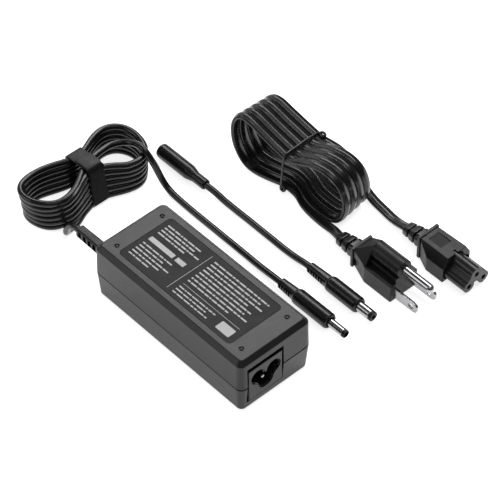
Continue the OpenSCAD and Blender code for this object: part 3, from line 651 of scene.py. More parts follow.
LOOP = [(-25, 2.6), (-34, 3.6), (-41.5, 3.9), (-49, 2.8), (-56, 1.7), (-62.5, 1.6), (-67.4, 3.3), (-71.2, 7.6),
        (-74.3, 14.3), (-75.4, 22), (-74.8, 28.2), (-72.6, 33.2), (-69.2, 35.6), (-64.6, 34.9), (-57.5, 31.6), (-50, 28.1),
        (-43.4, 25.4), (-39.6, 24), (-36.2, 24.2), (-31, 26.4), (-25, 28.8), (-18.5, 29.8), (-12.8, 29.2), (-8, 26.8),
        (-4.8, 22.7), (-2.9, 17.2), (-2.1, 11.2), (-3.7, 5.2), (-7.6, 1.8), (-15, 1.6)]
PITCH = 5.36


def loop_point(i, k):
    x, z = LOOP[i]
    y = PITCH * (k + 0.5)
    if i >= 27 or (i < 3 and k > 0):
        y += PITCH * (ease((-24 - x) / 16) - (0 if i >= 27 else 1))
    y -= (2.1 - 0.25 * k) * min(1, max(0, (16 - z) / 12)) * min(1, max(0, (x + 30) / 14))
    if x < -47 and z > 5:
        f = min(1, (-47 - x) / 12)
        z *= 1 - (0.012 + 0.008 * min(1, max(0, (-64 - x) / 6))) * k * f
        x += 0.4 * k * f
    if 19 <= i <= 25:
        z *= 1 - 0.017 * k
    return hank_world(x, y, z)


def mains_path():
    a = [[8, 88.4, 5.3], [5, 88.5, 5.2], [1.5, 89.8, 3.6], [-3, 91.2, 2.2], [-8, 91.5, 1.5], [-14, 91.6, 1.5], [-20, 92.1, 1.5], [-26.5, 93.3, 1.5], [-33, 95.6, 1.9]]
    a += [hank_world(-41.5, PITCH / 2, 3.9), hank_world(-49, PITCH / 2, 2.8)]
    for k in range(5):
        i0 = 4 if k == 0 else 0
        last = len(LOOP) if k < 4 else 18
        for i in range(i0, last):
            a.append(loop_point(i, k))
    for x, y, z in ((-36.5, 24.2, 23), (-30.5, 24.5, 22.6), (-25, 24.8, 21.8), (-19.5, 25, 18.8), (-14.5, 25.2, 14.2), (-10.5, 25.1, 9), (-6.9, 24.7, 4.4)):
        a.append(hank_world(x, y, z))
    a += [[-4.6, 121.1, 1.9], [-2, 120.8, 1.6], [4, 120.2, 1.5], [10, 119.3, 1.7], [16, 118.4, 2.9], [23, 117.4, 5.4], [26, 117.4, 5.6]]
    return soften(spline(a, 1.3), 3)


MP = mains_path()


def wide_axis(p):
    """Across the flat: near the hank's own Y in its turns, a little shingled, and level on the free ends."""
    t = tangents(p)
    hank_y = np.array([-SA, CA, 0.0])
    n = len(p)
    out = []
    for i in range(n):
        h = np.cross([0, 0, 1.0], t[i])
        m = np.linalg.norm(h)
        if np.dot(h, hank_y) < 0:
            h = -h
        inside = min(1.0, max(0.0, (i - 26) / 14.0), max(0.0, (n - 50 - i) / 14.0))
        free = unit(h) if m > 0.2 else hank_y
        a = hank_y * inside + free * (1 - inside)
        side = np.cross(t[i], unit(a))
        out.append(unit(a) * math.cos(0.01 * inside) - side * math.sin(0.01 * inside))
    out = np.array(out)
    for _ in range(12):
        out[1:-1] = (out[:-2] + out[1:-1] * 2 + out[2:]) / 4
    return out


mains_cord = sweep("mains_cord", MP, flat_profile(), MAT["flat_cord_jacket"], w_axis=wide_axis(MP))
put(mains_cord, "mains_lead", cad=("coupler_cord", "mains_hank", "mains_plug_cord"), sharp=75, weighted=False)

# ---------------------------------------------------------------- shared shapes for the pieces
def prism_y(name, outline, y0, y1, mat=None):
    """Outline of (x, z) points run along Y."""
    o = np.asarray(outline, float)
    return loft(name, [np.c_[o[:, 0], np.full(len(o), y), o[:, 1]] for y in (y0, y1)], mat)


def closed_sweep(name, centres, sections):
    """Closed loop of rings with no ends."""
    k = len(sections[0])
    v = np.vstack(sections)
    n = len(sections)
    f = []
    for i in range(n):
        for j in range(k):
            a, b = i * k + j, i * k + (j + 1) % k
            c, d = ((i + 1) % n) * k + (j + 1) % k, ((i + 1) % n) * k + j
            f.append((a, b, c, d))
    return new_obj(name, v, f)


def closed_wire(name, path, r, n=10):
    p = np.asarray(path, float)
    t = np.roll(p, -1, 0) - np.roll(p, 1, 0)
    t /= np.linalg.norm(t, axis=1)[:, None]
    c = p.mean(0)
    rings = []
    for i in range(len(p)):
        out = p[i] - c
        u = unit(out - t[i] * np.dot(out, t[i]))
        w = np.cross(t[i], u)
        q = circle(r, n)
        rings.append(p[i] + q[:, :1] * u + q[:, 1:] * w)
    return closed_sweep(name, p, rings)


def ladder(name, x0, x1, y, z, w0, h0, w1, h1, radius, slots, slot_w, web, lo, hi, lip=0.5, edge=0.16):
    """Strain relief with a spine over and under: open slots on both sides down to a middle web."""
    rings = []
    d = 1 if x1 > x0 else -1
    for f, s in ((0.0, 1 - 0.5 * lip / 3), (0.012, 1.0), (0.25, 1), (0.5, 1), (0.75, 1), (1.0, 1)):
        w, h = (w0 + (w1 - w0) * f) * s, (h0 + (h1 - h0) * f) * s
        q = rrect(w, h, radius, 7)
        rings.append(np.c_[np.full(len(q), x0 + (x1 - x0) * f), q[:, 0] + y, q[:, 1] + z])
    o = loft(name, rings)
    cuts = []
    for x in slots:
        f = (x - x0) / (x1 - x0)
        k = (h0 + (h1 - h0) * f) / max(h0, h1)
        for s in (-1, 1):
            a, b = (y + web, y + 9) if s > 0 else (y - 9, y - web)
            q = rrect(slot_w, (hi - lo) * k, 0.35, 3)
            c = q + np.array([x, z + (hi + lo) / 2 * k])
            cuts.append(prism_y("cut", c, a, b))
    join(cuts[0], cuts[1:])
    combine(o, [cuts[0]])
    return bevel(o, edge, 2, 40)


def segments(name, x0, x1, y, z0, z1, w0, h0, w1, h1, n):
    """Boxy relief segments on a narrower core, growing towards the body."""
    rings = []
    p = (x1 - x0) / n
    for i in range(n):
        for fx, s in ((0.0, 0.80), (0.02, 0.91), (0.06, 0.97), (0.12, 1.0), (0.64, 1.0), (0.71, 0.97), (0.76, 0.91), (0.78, 0.80), (0.80, 0.72), (0.985, 0.72)):
            g = min((i + fx) / max(n - 1, 1), 1.0)
            w, h = (w0 + (w1 - w0) * g) * s, (h0 + (h1 - h0) * g) * s
            q = rrect(w, h, min(w, h) * 0.36, 7)
            zz = z0 + (z1 - z0) * (i + fx) / n
            rings.append(np.c_[np.full(len(q), x0 + (i + fx) * p), q[:, 0] + y, q[:, 1] + zz])
    q = rings[-1].copy()
    q[:, 0] = x1 + 0.4
    rings.append(q)
    return loft(name, rings)


# ---------------------------------------------------------------- brick
BL, BW, BH, PZ, CR = 106.8, 46.0, 34.4, 16.2, 3.6
HX = BL / 2


def shell_rings(profile, n=9):
    out = []
    for inset, z in profile:
        q = rrect(BL - 2 * inset, BW - 2 * inset, max(CR - 0.65 * inset, 1.0), n)
        out.append(np.c_[q, np.full(len(q), z)])
    return out


def openings():
    return [block("cut", (HX - 4, -18.5, 5.0), (HX + 1, 4.7, 28.6)), block("cut", (-HX - 1, -13.9, 13.0), (-HX + 4, -8.1, 19.4))]


DIMPLES = [(x, y) for x in (-44.8, 44.8) for y in (-14.6, 14.6)]
top = loft("case_top", shell_rings(fillet([(0.34, 16.34), (0.0, 16.66), (0.4, 32.0), (2.8, 34.4), (8.0, 34.4)], [0, 0.12, 0.9, 0.9, 0], 6)))
hollow = loft("cut", shell_rings([(2.0, 15.0), (2.3, 31.0), (4.2, 32.4)], 4))
q = rrect(80.4, 34.4, 2.2, 8)
pocket = loft("cut", [np.c_[q[:, 0] - 1, q[:, 1], np.full(len(q), z)] for z in (34.1, 35.4)])
combine(top, [hollow, pocket] + [pillar("cut", x, y, 33.88, 35.2, 1.4, 36) for x, y in DIMPLES] + openings())
bevel(top, 0.13, 2, 50)
domes = []
for x, y in DIMPLES:
    rings = []
    for r, z in ((0.98, 33.7), (0.96, 34.1), (0.88, 34.26), (0.7, 34.38), (0.45, 34.45), (0.15, 34.47)):
        c = circle(r, 28)
        rings.append(np.c_[c[:, 0] + x, c[:, 1] + y, np.full(28, z)])
    domes.append(loft("dome", rings))
join(top, domes)
put(top, "root", MAT["case_plastic"], cad="top_shell", sharp=38)

base = loft("case_base", shell_rings(fillet([(8.0, 0.0), (2.3, 0.0), (1.2, 1.2), (0.02, 15.74), (0.34, 16.04)], [0, 0.8, 0.8, 0.12, 0], 6)))
hollow = loft("cut", shell_rings([(4.4, 2.0), (3.2, 3.0), (2.0, 17.0)], 4))
combine(base, [hollow] + openings())
feet = []
bevel(base, 0.13, 2, 50)
lip = loft("lip", [np.c_[q2, np.full(len(q2), z)] for q2, z in ((rrect(BL - 2.3, BW - 2.3, 2.6, 6), 14.6), (rrect(BL - 2.3, BW - 2.3, 2.6, 6), 17.4))])
inner = loft("cut", [np.c_[q2, np.full(len(q2), z)] for q2, z in ((rrect(BL - 4.0, BW - 4.0, 2.0, 6), 12), (rrect(BL - 4.0, BW - 4.0, 2.0, 6), 19))])
combine(lip, [inner] + openings())
join(base, [lip])
put(base, "root", MAT["case_plastic"], cad="bottom_shell", sharp=38)

label = loft("label_panel", [np.c_[q2[:, 0] - 1, q2[:, 1], np.full(len(q2), z)] for q2, z in (
    (rrect(80.0, 34.0, 2.0, 8), 34.105), (rrect(80.0, 34.0, 2.0, 8), 34.29), (rrect(79.88, 33.88, 1.95, 8), 34.335), (rrect(79.7, 33.7, 1.9, 8), 34.35))])
put(label, "root", MAT["label_film"], cad="rating_label", sharp=60)

marks = []


def bar(x0, x1, y0, y1, r=0.16):
    w, h = abs(x1 - x0), abs(y1 - y0)
    c = rrect(w, h, min(r, w / 2.2, h / 2.2), 2) + np.array([(x0 + x1) / 2, (y0 + y1) / 2])
    marks.append(loft("bar", [np.c_[c, np.full(len(c), z)] for z in (34.33, 34.372)]))


def dashes(x0, x1, y, h, seed):
    """A row of plain dashes of uneven length, with no lettering in it."""
    x, i = x0, seed
    while x < x1 - 0.8:
        w = 1.1 + 3.6 * abs(math.sin(i * 2.399 + 0.7)) ** 1.4
        w = min(w, x1 - x)
        bar(x, x + w, y - h / 2, y + h / 2, 0.14)
        x += w + 0.55
        i += 1


for i, (a, b) in enumerate(((-38, -13), (-38, -16), (-38, -11), (-38, -19))):
    dashes(a, b, 12.6 - 2.2 * i, 0.85, 3 + 7 * i)
bar(-38, -20.5, -0.6, 2.2, 0.3)
bar(-18.8, -12.6, -0.6, 2.2, 0.3)
for i, b in enumerate((-17, -21, -14.5, -18, -23)):
    dashes(-38, b, -3.6 - 2.3 * i, 0.8, 31 + 5 * i)
bar(-8.2, -7.95, -14.6, 14.6, 0.05)
for i, b in enumerate((34, 30.5, 35, 27, 33, 31, 35, 24)):
    dashes(-4.6, b, 13 - 2.45 * i, 0.85, 61 + 9 * i)
bar(-4.6, 35.4, -7.3, -7.08, 0.05)
for i, b in enumerate((21, 16.5, 19.5)):
    dashes(-4.6, b, -9.6 - 2.2 * i, 0.75, 131 + 3 * i)
bar(26.2, 35.4, -14.6, -9.2, 0.5)
join(marks[0], marks[1:])
marks[0].name = "label_marks"
put(marks[0], "root", MAT["label_print"], sharp=30, weighted=False)

# ---------------------------------------------------------------- mains inlet
IY, IZ, FX = -6.3, 18.3, 52.8


def lobes(x0, x1, y, z, up, grow, n=48):
    """Three-lobed section as overlapping solids; up = +1 puts the earth lobe on top."""
    g = grow
    out = [rod("lobe", x0, x1, y - 5, z, 3.9 + g, n), rod("lobe", x0, x1, y + 5, z, 3.9 + g, n),
           rod("lobe", x0 - 0.011, x1 + 0.013, y, z + up * 5.3, 4.4 + g, n)]
    p = [(-7.3 - 0.73 * g, 2.2 + 0.69 * g), (-2.7 - 0.73 * g, 7.8 + 0.69 * g), (2.7 + 0.73 * g, 7.8 + 0.69 * g),
         (7.3 + 0.73 * g, 2.2 + 0.69 * g), (5, 0.3 - g), (-5, 0.3 - g)]
    out.append(prism("lobe", [(a, up * b) for a, b in p], x0 - 0.023, x1 + 0.027, y, z))
    return out


def fuse_solids(parts):
    o = parts[0]
    return combine(o, parts[1:], "UNION")


face = block("inlet_face", (34.6, -17.2, 5.4), (FX, 4.4, 25.7))
bevel(face, 0.55, 3, 30)
hole = fuse_solids(lobes(FX - 14.5, FX + 1, IY, IZ, -1, 0.0))
rim = fuse_solids(lobes(FX - 0.7, FX + 1, IY, IZ, -1, 0.55))
combine(face, [hole, rim])
bevel(face, 0.22, 2, 45)
back = block("back", (FX - 17, -18.3, 5.2), (HX - 3.2, 4.5, 28.4))
hole = fuse_solids(lobes(FX - 14.5, FX + 1, IY, IZ, -1, 0.02))
combine(back, [hole])
plate = block("plate", (HX - 5.4, -19.4, 4.7), (HX - 4.1, 6.2, 29.6))
hole = fuse_solids(lobes(FX - 14.5, FX + 1, IY, IZ, -1, 0.03))
combine(plate, [hole])
join(face, [back, plate])
put(face, "root", MAT["inlet_plastic"], cad="inlet_housing", sharp=38)


def pin(name, y, z, e=50.9):
    return lathe(name, [(31, 0), (31, 1.0), (38.3, 1.0), (38.3, 1.2), (e - 0.9, 1.2), (e - 0.4, 1.08), (e - 0.1, 0.8), (e, 0.45), (e, 0)], y, z, None, 28)


live = pin("inlet_pins", IY - 5, IZ, 48.9)
join(live, [pin("p", IY + 5, IZ, 48.9)])
put(live, "root", MAT["nickel_plate"], cad="inlet_live_pins", sharp=40)
put(pin("inlet_ground_pin", IY, IZ - 5.3), "root", MAT["nickel_plate"], cad="inlet_earth_pin", sharp=40)

# ---------------------------------------------------------------- output lead pieces
relief = ladder("output_relief", -78.6, -53.3, -11, 16.2, 5.0, 5.7, 5.7, 6.3, 1.25, [-57.0 - 3.75 * i for i in range(6)], 2.4, 1.0, -2.4, 2.2, edge=0.16)
fl = block("fl", (-50.8, -15.6, 11.6), (-48.8, -6.4, 20.8))
nk = block("nk", (-53.4, -13.6, 13.3), (-46.2, -8.4, 19.1))
bevel(fl, 0.3, 2, 30)
join(relief, [fl, nk])
put(relief, "root", MAT["soft_plastic"], cad="lead_relief", sharp=38)

loop = fillet([(-108, 0.05), (-119.0, 0.05), (-119.1, 22.7), (-103.5, 23.95), (-100.9, 22.3), (-97.6, 0.05), (-108, 0.05)],
              [0, 0.8, 1.5, 1.2, 1.6, 0.8, 0], 6)[:-1]
dense = even(np.vstack([loop, loop[:1]]), 0.9)[:-1]
cen = dense.mean(0)
tang = np.roll(dense, -1, 0) - np.roll(dense, 1, 0)
tang /= np.linalg.norm(tang, axis=1)[:, None]
sect = rrect(9.8, 0.85, 0.3, 3)
rings = []
for i, p in enumerate(dense):
    nrm = np.array([tang[i][1], -tang[i][0]])
    if np.dot(nrm, p - cen) < 0:
        nrm = -nrm
    lift = 0.10 * math.sin(i * 0.21) + 0.06 * math.sin(i * 0.57 + 1)
    sway = 0.22 * math.sin(i * 0.13 + 0.4)
    c = p - nrm * (0.45 - 0.3 * lift)
    rings.append(np.c_[c[0] + nrm[0] * sect[:, 1], 18.5 + sway + sect[:, 0], np.maximum(c[1] + nrm[1] * sect[:, 1], 0.02)])
strap = closed_sweep("hank_band", dense, rings)
# the loose end laid back over the band, down its front
tail = fillet([(-112.0, 23.9), (-103.4, 24.55), (-100.2, 22.6), (-97.35, 2.6)], [0, 1.3, 1.8, 0], 6)
tail = even(tail, 0.9)
tt = tangents(tail)
rings = []
for i, p in enumerate(tail):
    nrm = np.array([-tt[i][1], tt[i][0]])
    if np.dot(nrm, p - cen) < 0:
        nrm = -nrm
    k = len(tail) - 1 - i
    w = 9.4 - (1.5 if k == 0 else 0.5 if k == 1 else 0) - (1.2 if i == 0 else 0.3 if i == 1 else 0)
    s2 = rrect(w, 0.5, 0.2, 3)
    rings.append(np.c_[p[0] + nrm[0] * (s2[:, 1] - 0.2), 18.55 + 0.2 * math.sin(i * 0.2) + s2[:, 0], p[1] + nrm[1] * (s2[:, 1] - 0.2)])
join(strap, [loft("end", rings)])
put(strap, "root", MAT["strap_vinyl"], cad="hank_strap", sharp=50, weighted=False)
# the tab's matt face over the front
tab = even(fillet([(-101.9, 24.15), (-100.35, 23.1), (-97.1, 2.2)], [0, 1.2, 0], 6), 0.9)
tt = tangents(tab)
rings = []
for i, p in enumerate(tab):
    nrm = np.array([-tt[i][1], tt[i][0]])
    if np.dot(nrm, p - cen) < 0:
        nrm = -nrm
    w = 9.7 - (1.0 if i in (0, len(tab) - 1) else 0)
    s2 = rrect(w, 0.42, 0.16, 3)
    rings.append(np.c_[p[0] + nrm[0] * (s2[:, 1] + 0.05), 18.5 + 0.15 * math.sin(i * 0.25) + s2[:, 0], p[1] + nrm[1] * (s2[:, 1] + 0.05)])
tab = loft("hank_band_tab", rings)
put(tab, "root", MAT["strap_back"], sharp=50, weighted=False)


def grip_profile(x0, x1):
    return [(x0, 0), (x0, 3.05), (x0 + 0.12, 3.3), (x0 + 0.45, 3.62), (x0 + 1.0, 3.95), (x0 + 1.7, 4.18), (x0 + 2.6, 4.3),
            (x1 - 2.0, 4.3), (x1 - 1.2, 4.26), (x1 - 0.6, 4.1), (x1 - 0.2, 3.85), (x1, 3.5), (x1, 3.05), (x1 - 0.12, 2.92),
            (x1 - 0.35, 2.86), (x1 - 1.3, 2.84), (x1 - 1.3, 0)]


dcg = lathe("plug_body", grip_profile(17.4, 42.0), 46.2, 4.3, None, 72)
put(dcg, "root", MAT["grip_plastic"], cad="plug_grip", sharp=38)
dcr = ladder("plug_strain_relief", 7.0, 17.6, 46.2, 4.3, 5.5, 5.5, 6.3, 6.3, 2.6, [8.5 + 1.72 * i for i in range(5)], 1.0, 1.0, -1.75, 2.05, edge=0.1)
put(dcr, "root", MAT["grip_plastic"], cad="plug_relief", sharp=38)
sl = weld(lathe("plug_barrel", [(40.9, 1.9), (40.9, 2.25), (51.15, 2.25), (51.4, 2.2), (51.5, 2.08), (51.5, 1.9), (40.9, 1.9)], 46.2, 4.3, None, 56))
put(sl, "root", MAT["nickel_plate"], cad="plug_sleeve", sharp=40)
ti = lathe("plug_nose", [(42.5, 0), (42.5, 1.88), (51.5, 1.88), (51.54, 2.1), (51.75, 2.21), (52.7, 2.2), (53.0, 2.05), (53.1, 1.82), (53.1, 1.6), (52.95, 1.5), (44, 1.5), (44, 0)], 46.2, 4.3, None, 48)
put(ti, "root", MAT["tip_insulation"], cad="plug_tip_insulator", sharp=38)

# ---------------------------------------------------------------- converter lead pieces
hs = lathe("converter_socket", [(-93, 0), (-93, 2.75), (-103.3, 2.75), (-103.5, 2.95), (-103.5, 3.3), (-103.36, 3.62), (-103.0, 3.88), (-102.4, 4.04), (-101.8, 4.1),
                                (-82.2, 4.1), (-81.4, 4.05), (-80.4, 3.88), (-77.2, 3.08), (-76.3, 2.95), (-75.4, 2.92), (-69.7, 2.9), (-69.2, 2.86),
                                (-68.75, 2.7), (-68.5, 2.45), (-68.5, 2.15), (-68.7, 2.0), (-69.8, 1.95), (-69.8, 0)], 63.9, 4.1, None, 72)
put(hs, "converter_lead", MAT["grip_plastic"], cad="tip_socket_housing", sharp=38)
ss = weld(lathe("socket_sleeve", [(-103.0, 2.33), (-103.0, 2.6), (-102.85, 2.73), (-93.1, 2.73), (-93.1, 2.33), (-103.0, 2.33)], 63.9, 4.1, None, 48))
put(ss, "converter_lead", MAT["nickel_plate"], cad="tip_socket_sleeve", sharp=40)
sp = lathe("socket_pin", [(-101.5, 0), (-101.5, 0.35), (-101.3, 0.7), (-100.9, 0.88), (-100.5, 0.9), (-94.3, 0.9), (-94.3, 2.25), (-93.6, 2.25), (-93.6, 0)], 63.9, 4.1, None, 32)
put(sp, "converter_lead", MAT["nickel_plate"], cad="tip_socket_pin", sharp=40)
tg = lathe("converter_body", grip_profile(22.4, 44.2), 63.9, 4.3, None, 72)
put(tg, "converter_lead", MAT["grip_plastic"], cad="tip_grip", sharp=38)
tr = ladder("converter_strain_relief", 9.0, 22.6, 63.9, 4.3, 5.5, 5.5, 6.3, 6.3, 2.6, [10.6 + 1.85 * i for i in range(6)], 1.05, 1.0, -1.75, 2.05, edge=0.1)
put(tr, "converter_lead", MAT["grip_plastic"], cad="tip_relief", sharp=38)
ts = weld(lathe("converter_barrel", [(43.0, 2.4), (43.0, 2.75), (51.85, 2.75), (52.1, 2.7), (52.2, 2.58), (52.2, 2.4), (43.0, 2.4)], 63.9, 4.3, None, 56))
put(ts, "converter_lead", MAT["nickel_plate"], cad="tip_sleeve", sharp=40)
tn = lathe("converter_nose", [(44.7, 0), (44.7, 2.38), (52.2, 2.38), (52.25, 2.6), (52.45, 2.71), (53.55, 2.7), (53.9, 2.52), (54.0, 2.25), (54.0, 1.35), (53.9, 1.25), (46.5, 1.25), (46.5, 0)], 63.9, 4.3, None, 48)
put(tn, "converter_lead", MAT["tip_insulation"], cad="tip_insulator", sharp=38)

# ---------------------------------------------------------------- mains plug
MY, MX0, MX1, MX2, BZ = 88.4, 5.0, 19.0, 50.0, 5.6
EZ = BZ + 11.9


def plan_prism(name, plan, z0, z1):
    q = np.asarray(plan, float)
    return loft(name, [np.c_[q, np.full(len(q), z)] for z in (z0, z1)])


body = plan_prism("wall_plug", [(MX1 + 1.2, MY - 5), (MX1 + 12.4, MY - 9.3), (MX2, MY - 9.3), (MX2, MY + 9.3), (MX1 + 12.4, MY + 9.3), (MX1 + 1.2, MY + 5)], 0, 11)
bevel(body, 0.55, 3, 20)
flange = block("flange", (MX1, MY - 6.9, 0.6), (MX1 + 1.7, MY + 6.9, 13.2))
bevel(flange, 0.3, 3, 30)
barrel = rod("barrel", MX1 + 12.0, MX2 - 0.02, MY, EZ, 4.8, 56)
bevel(barrel, 0.4, 3, 50)
roof = [(MX1 + 12.6, MY + s * a, EZ + b) for s in (-1, 1) for a, b in ((4.85, -2.0), (4.75, 1.6), (2.5, 4.75))]
rampo = hull("ramp", roof + [(MX1 + 1.0, MY + s * 6.0, z) for s in (-1, 1) for z in (7.6, 12.7)]
             + [(MX1 + 12.6, MY + s * 8.95, z) for s in (-1, 1) for z in (8.8, 10.8)])
bevel(rampo, 0.16, 2, 12)
shelf = plan_prism("shelf", [(MX1 + 13, MY - 5.8), (MX2 - 0.01, MY - 5.8), (MX2 - 0.01, MY + 5.8), (MX1 + 13, MY + 5.8)], 7.6, 14.2)
bevel(shelf, 0.45, 3, 30)
join(body, [flange, barrel, rampo, shelf])
put(body, "mains_lead", MAT["soft_plastic"], cad="mains_plug_body", sharp=38)

blades = []
for s in (-1, 1):
    y = MY + s * 6.35
    b = prism_y("blade", [(42.2, BZ - 3.17), (63.2, BZ - 3.17), (65.0, BZ - 2.55), (65.8, BZ - 1.7), (66.0, BZ - 0.9), (66.0, BZ + 0.9), (65.8, BZ + 1.7), (65.0, BZ + 2.55), (63.2, BZ + 3.17), (42.2, BZ + 3.17)], y - 0.76, y + 0.76)
    c = circle(1.6, 36) + np.array([61.7, BZ])
    combine(b, [prism_y("cut", c, y - 3, y + 3)])
    bevel(b, 0.2, 2, 30)
    blades.append(b)
join(blades[0], blades[1:])
blades[0].name = "plug_blades"
put(blades[0], "mains_lead", MAT["nickel_plate"], cad="mains_plug_blades", sharp=40)
ep = lathe("plug_ground_pin", [(42.2, 0), (42.2, 2.0), (50, 2.0), (50, 2.4), (66.9, 2.4), (67.9, 2.2), (68.7, 1.75), (69.25, 1.15), (69.5, 0.5), (69.5, 0)], MY, EZ, None, 48)
put(ep, "mains_lead", MAT["nickel_plate"], cad="mains_plug_earth_pin", sharp=40)
mr = segments("wall_plug_relief", MX0, MX1, MY, 5.2, 6.2, 7.4, 5.2, 9.8, 8.0, 3)
put(mr, "mains_lead", MAT["grip_plastic"], cad="mains_plug_relief", sharp=50)

# ---------------------------------------------------------------- coupler
CY, CX0, CX1, CX2, CZ = 117.0, 23.0, 37.0, 58.0, 4.9
cb = hull("appliance_coupler", [(CX1 + 1.0, CY + s * 6.0, z) for s in (-1, 1) for z in (0.6, 14.4)] + [(CX2, CY + s * 6.4, 15.0) for s in (-1, 1)]
          + [(x, CY + s * 9.6, z) for x in (CX1 + 9.4, CX2) for s in (-1, 1) for z in (0.0, 9.4)])
bevel(cb, 0.4, 3, 14)
cav = fuse_solids(lobes(CX2 - 2.4, CX2 + 3, CY, CZ, 1, 0.42))
patch = block("cut", (CX1 + 4.6, CY - 3.4, 14.1), (CX1 + 13.4, CY + 3.6, 16))
combine(cb, [cav, patch])
bevel(cb, 0.12, 2, 50)
cf = block("flange", (CX1, CY - 6.9, 0.6), (CX1 + 1.8, CY + 6.9, 15.0))
bevel(cf, 0.32, 3, 30)
join(cb, [cf])
put(cb, "mains_lead", MAT["soft_plastic"], cad="coupler_body", sharp=30)
inlay = block("coupler_patch", (CX1 + 4.5, CY - 3.5, 13.4), (CX1 + 13.5, CY + 3.7, 14.22))
bevel(inlay, 0.08, 2, 30)
put(inlay, "mains_lead", MAT["label_film"], sharp=30)
nose = fuse_solids(lobes(CX2 - 8, CX2 + 13.8, CY, CZ, 1, -0.4, 56))
holes = [rod("cut", CX2 - 6.5, CX2 + 20, y, z, 1.45, 32) for y, z in ((CY - 5, CZ), (CY + 5, CZ), (CY, CZ + 5.3))]
combine(nose, holes)
bevel(nose, 0.35, 3, 50)
nose.name = "coupler_front"
put(nose, "mains_lead", MAT["inlet_plastic"], cad="coupler_nose", sharp=38)
cc = []
for y, z in ((CY - 5, CZ), (CY + 5, CZ), (CY, CZ + 5.3)):
    cc.append(weld(lathe("contact", [(CX2 - 6.4, 1.24), (CX2 - 6.4, 1.42), (CX2 + 11.2, 1.42), (CX2 + 11.5, 1.34), (CX2 + 11.5, 1.24), (CX2 - 6.4, 1.24)], y, z, None, 32)))
join(cc[0], cc[1:])
cc[0].name = "coupler_sockets"
put(cc[0], "mains_lead", MAT["contact_brass"], cad="coupler_contacts", sharp=40)
cr = segments("coupler_strain_relief", CX0, CX1, CY + 0.4, 5.4, 6.8, 7.4, 5.2, 9.8, 8.3, 3)
put(cr, "mains_lead", MAT["grip_plastic"], cad="coupler_relief", sharp=50)

# ---------------------------------------------------------------- wire tie
tie_pts = [(-41.9, -0.5, 4.2), (-41.7, -0.75, 9), (-41.3, -0.75, 15), (-40.9, -0.7, 21), (-40.5, -0.4, 25), (-40.3, 0.4, 26.9), (-40.2, 2.2, 27.3), (-39.8, 8, 27.1), (-39.2, 15, 27),
           (-38.5, 21.5, 26.6), (-38.2, 24.3, 25.9), (-38.2, 25.9, 24.4), (-38.6, 26.3, 22), (-39.6, 27.2, 14), (-40.9, 27.6, 5), (-41.2, 26.4, 2.7), (-41.4, 18, 2.0), (-41.6, 9, 1.9), (-41.8, 1.0, 2.1)]
tie = closed_wire("twist_tie", [hank_world(*q) for q in spline(tie_pts, 0.9, closed=True)[:-1]], 0.58)
extra = []
for cx, cyy, cz, ra, rb, tilt in ((-35.9, 25.1, 25.6, 1.55, 1.05, 0.5), (-40.6, -1.0, 3.9, 1.35, 1.3, 1.35)):
    pts = []
    for a in np.linspace(0, 2 * math.pi, 28, endpoint=False):
        dx, dy = ra * math.cos(a), rb * math.sin(a)
        pts.append(hank_world(cx + dx, cyy + dy * math.cos(tilt), cz + dy * math.sin(tilt)))
    extra.append(closed_wire("eye", pts, 0.72))
for ph in (0, math.pi):
    pts = [hank_world(-41.6 + 0.5 * math.cos(t * 9 + ph) - 0.3 * t, -0.75 + 0.5 * math.sin(t * 9 + ph), 2.4 + 2.6 * t) for t in np.linspace(0, 1, 22)]
    extra.append(sweep("twist", np.array(pts), circle(0.5, 8)))
for ph in (0, math.pi):
    pts = [hank_world(-38.3 + 1.3 * t, 24.2 + 0.42 * math.sin(t * 7 + ph) + 0.5 * t, 26.0 + 0.42 * math.cos(t * 7 + ph) - 0.2 * t) for t in np.linspace(0, 1, 14)]
    extra.append(sweep("twist", np.array(pts), circle(0.48, 8)))
join(tie, extra)
put(tie, "mains_lead", MAT["tie_plastic"], cad="wire_tie", sharp=60, weighted=False)

# the rest of the construction keeps its own meshes, with eased edges
KEPT = [n for n in NODES if n in ("inlet_wires", "circuit_board", "insulating_sheet", "heat_spreader", "transformer_core", "transformer_bobbin", "transformer_winding",
                                  "bulk_capacitor", "output_capacitors", "noise_capacitor", "bridging_capacitors", "choke_core", "choke_windings", "bridge_rectifier",
                                  "switching_transistor", "primary_heat_sink", "output_rectifier", "secondary_heat_sink", "fuse", "surge_varistor", "control_chip",
                                  "optocoupler", "output_inductor", "output_wires")]
for n in KEPT:
    m = NODES[n].modifiers.new("ease", "BEVEL")
    m.width, m.segments = 0.12 * S, 2
    m.limit_method, m.angle_limit = "ANGLE", math.radians(40)
    m.use_clamp_overlap = True
    m = NODES[n].modifiers.new("normals", "WEIGHTED_NORMAL")
    m.keep_sharp = True

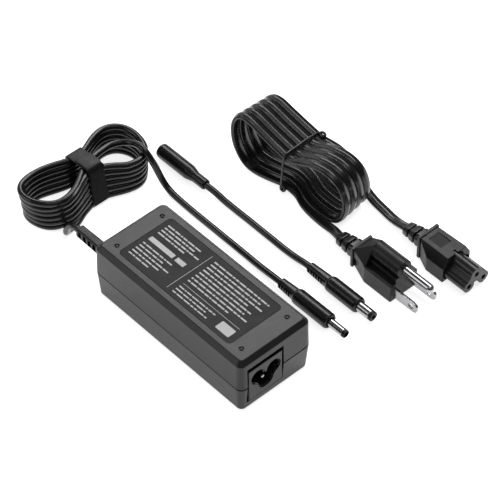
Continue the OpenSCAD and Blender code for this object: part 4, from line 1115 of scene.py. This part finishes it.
# ---------------------------------------------------------------- floor, light
fm, ft, fb, fc = tree("floor_paper")
fn = noise(ft, fc.outputs["Object"], 900.0, 3, 0.6)
fr = ramp(ft, fn.outputs["Fac"], [(0.3, (0.86, 0.86, 0.86)), (0.7, (0.90, 0.90, 0.90))])
ft.links.new(fr.outputs[0], fb.inputs["Base Color"])
fb.inputs["Roughness"].default_value = 0.9
fb.inputs["Specular IOR Level"].default_value = 0.1
fd = ft.nodes.new("ShaderNodeVectorMath")
fd.operation = "LENGTH"
ft.links.new(fc.outputs["Object"], fd.inputs[0])
fe = ramp(ft, fd.outputs["Value"], [(0.34, 1.0), (0.95, 0.42)])
ft.links.new(fe.outputs[0], fb.inputs["Emission Color"])
fb.inputs["Emission Strength"].default_value = 0.78
floor = new_obj("floor", [(-2500, -2500, 0), (2500, -2500, 0), (2500, 2500, 0), (-2500, 2500, 0)], [(0, 1, 2, 3)], fm)
floor.location.z = -0.00005

world = bpy.data.worlds.new("studio")
scene.world = world
world.use_nodes = True
bg = world.node_tree.nodes["Background"]
bg.inputs[0].default_value = (1, 1, 1, 1)
bg.inputs[1].default_value = 0.08


def softbox(name, direction, dist, w, h, radiance, target=(-0.01, 0.04, 0.02), roll=None):
    d = Vector(direction).normalized()
    l = bpy.data.lights.new(name, "AREA")
    l.shape, l.size, l.size_y = "RECTANGLE", w, h
    l.energy = radiance * math.pi * w * h
    o = bpy.data.objects.new(name, l)
    COL.objects.link(o)
    o.location = Vector(target) + d * dist
    o.rotation_mode = "QUATERNION"
    q = (-d).to_track_quat("-Z", "Y")
    if roll is not None:
        ax = Vector((1.0, 0.0, 0.0))
        x = (ax - d * ax.dot(d)).normalized()
        y = d.cross(x)
        q = Matrix((x, y, d)).transposed().to_quaternion()
    o.rotation_quaternion = q
    return o


softbox("key", (-0.29, 0.50, 0.815), 1.3, 1.5, 0.46, 7.5, roll=0.0)
softbox("overhead", (0.22, -0.14, 0.965), 1.5, 1.0, 1.0, 1.1)
softbox("fill", (-0.505, -0.731, 0.458), 1.5, 0.9, 0.9, 1.8)
softbox("wall", (-0.86, 0.458, 0.2), 1.6, 1.3, 0.5, 0.8)
softbox("side", (-0.86, 0.05, 0.51), 1.6, 0.6, 0.5, 1.3)

bpy.context.view_layer.update()
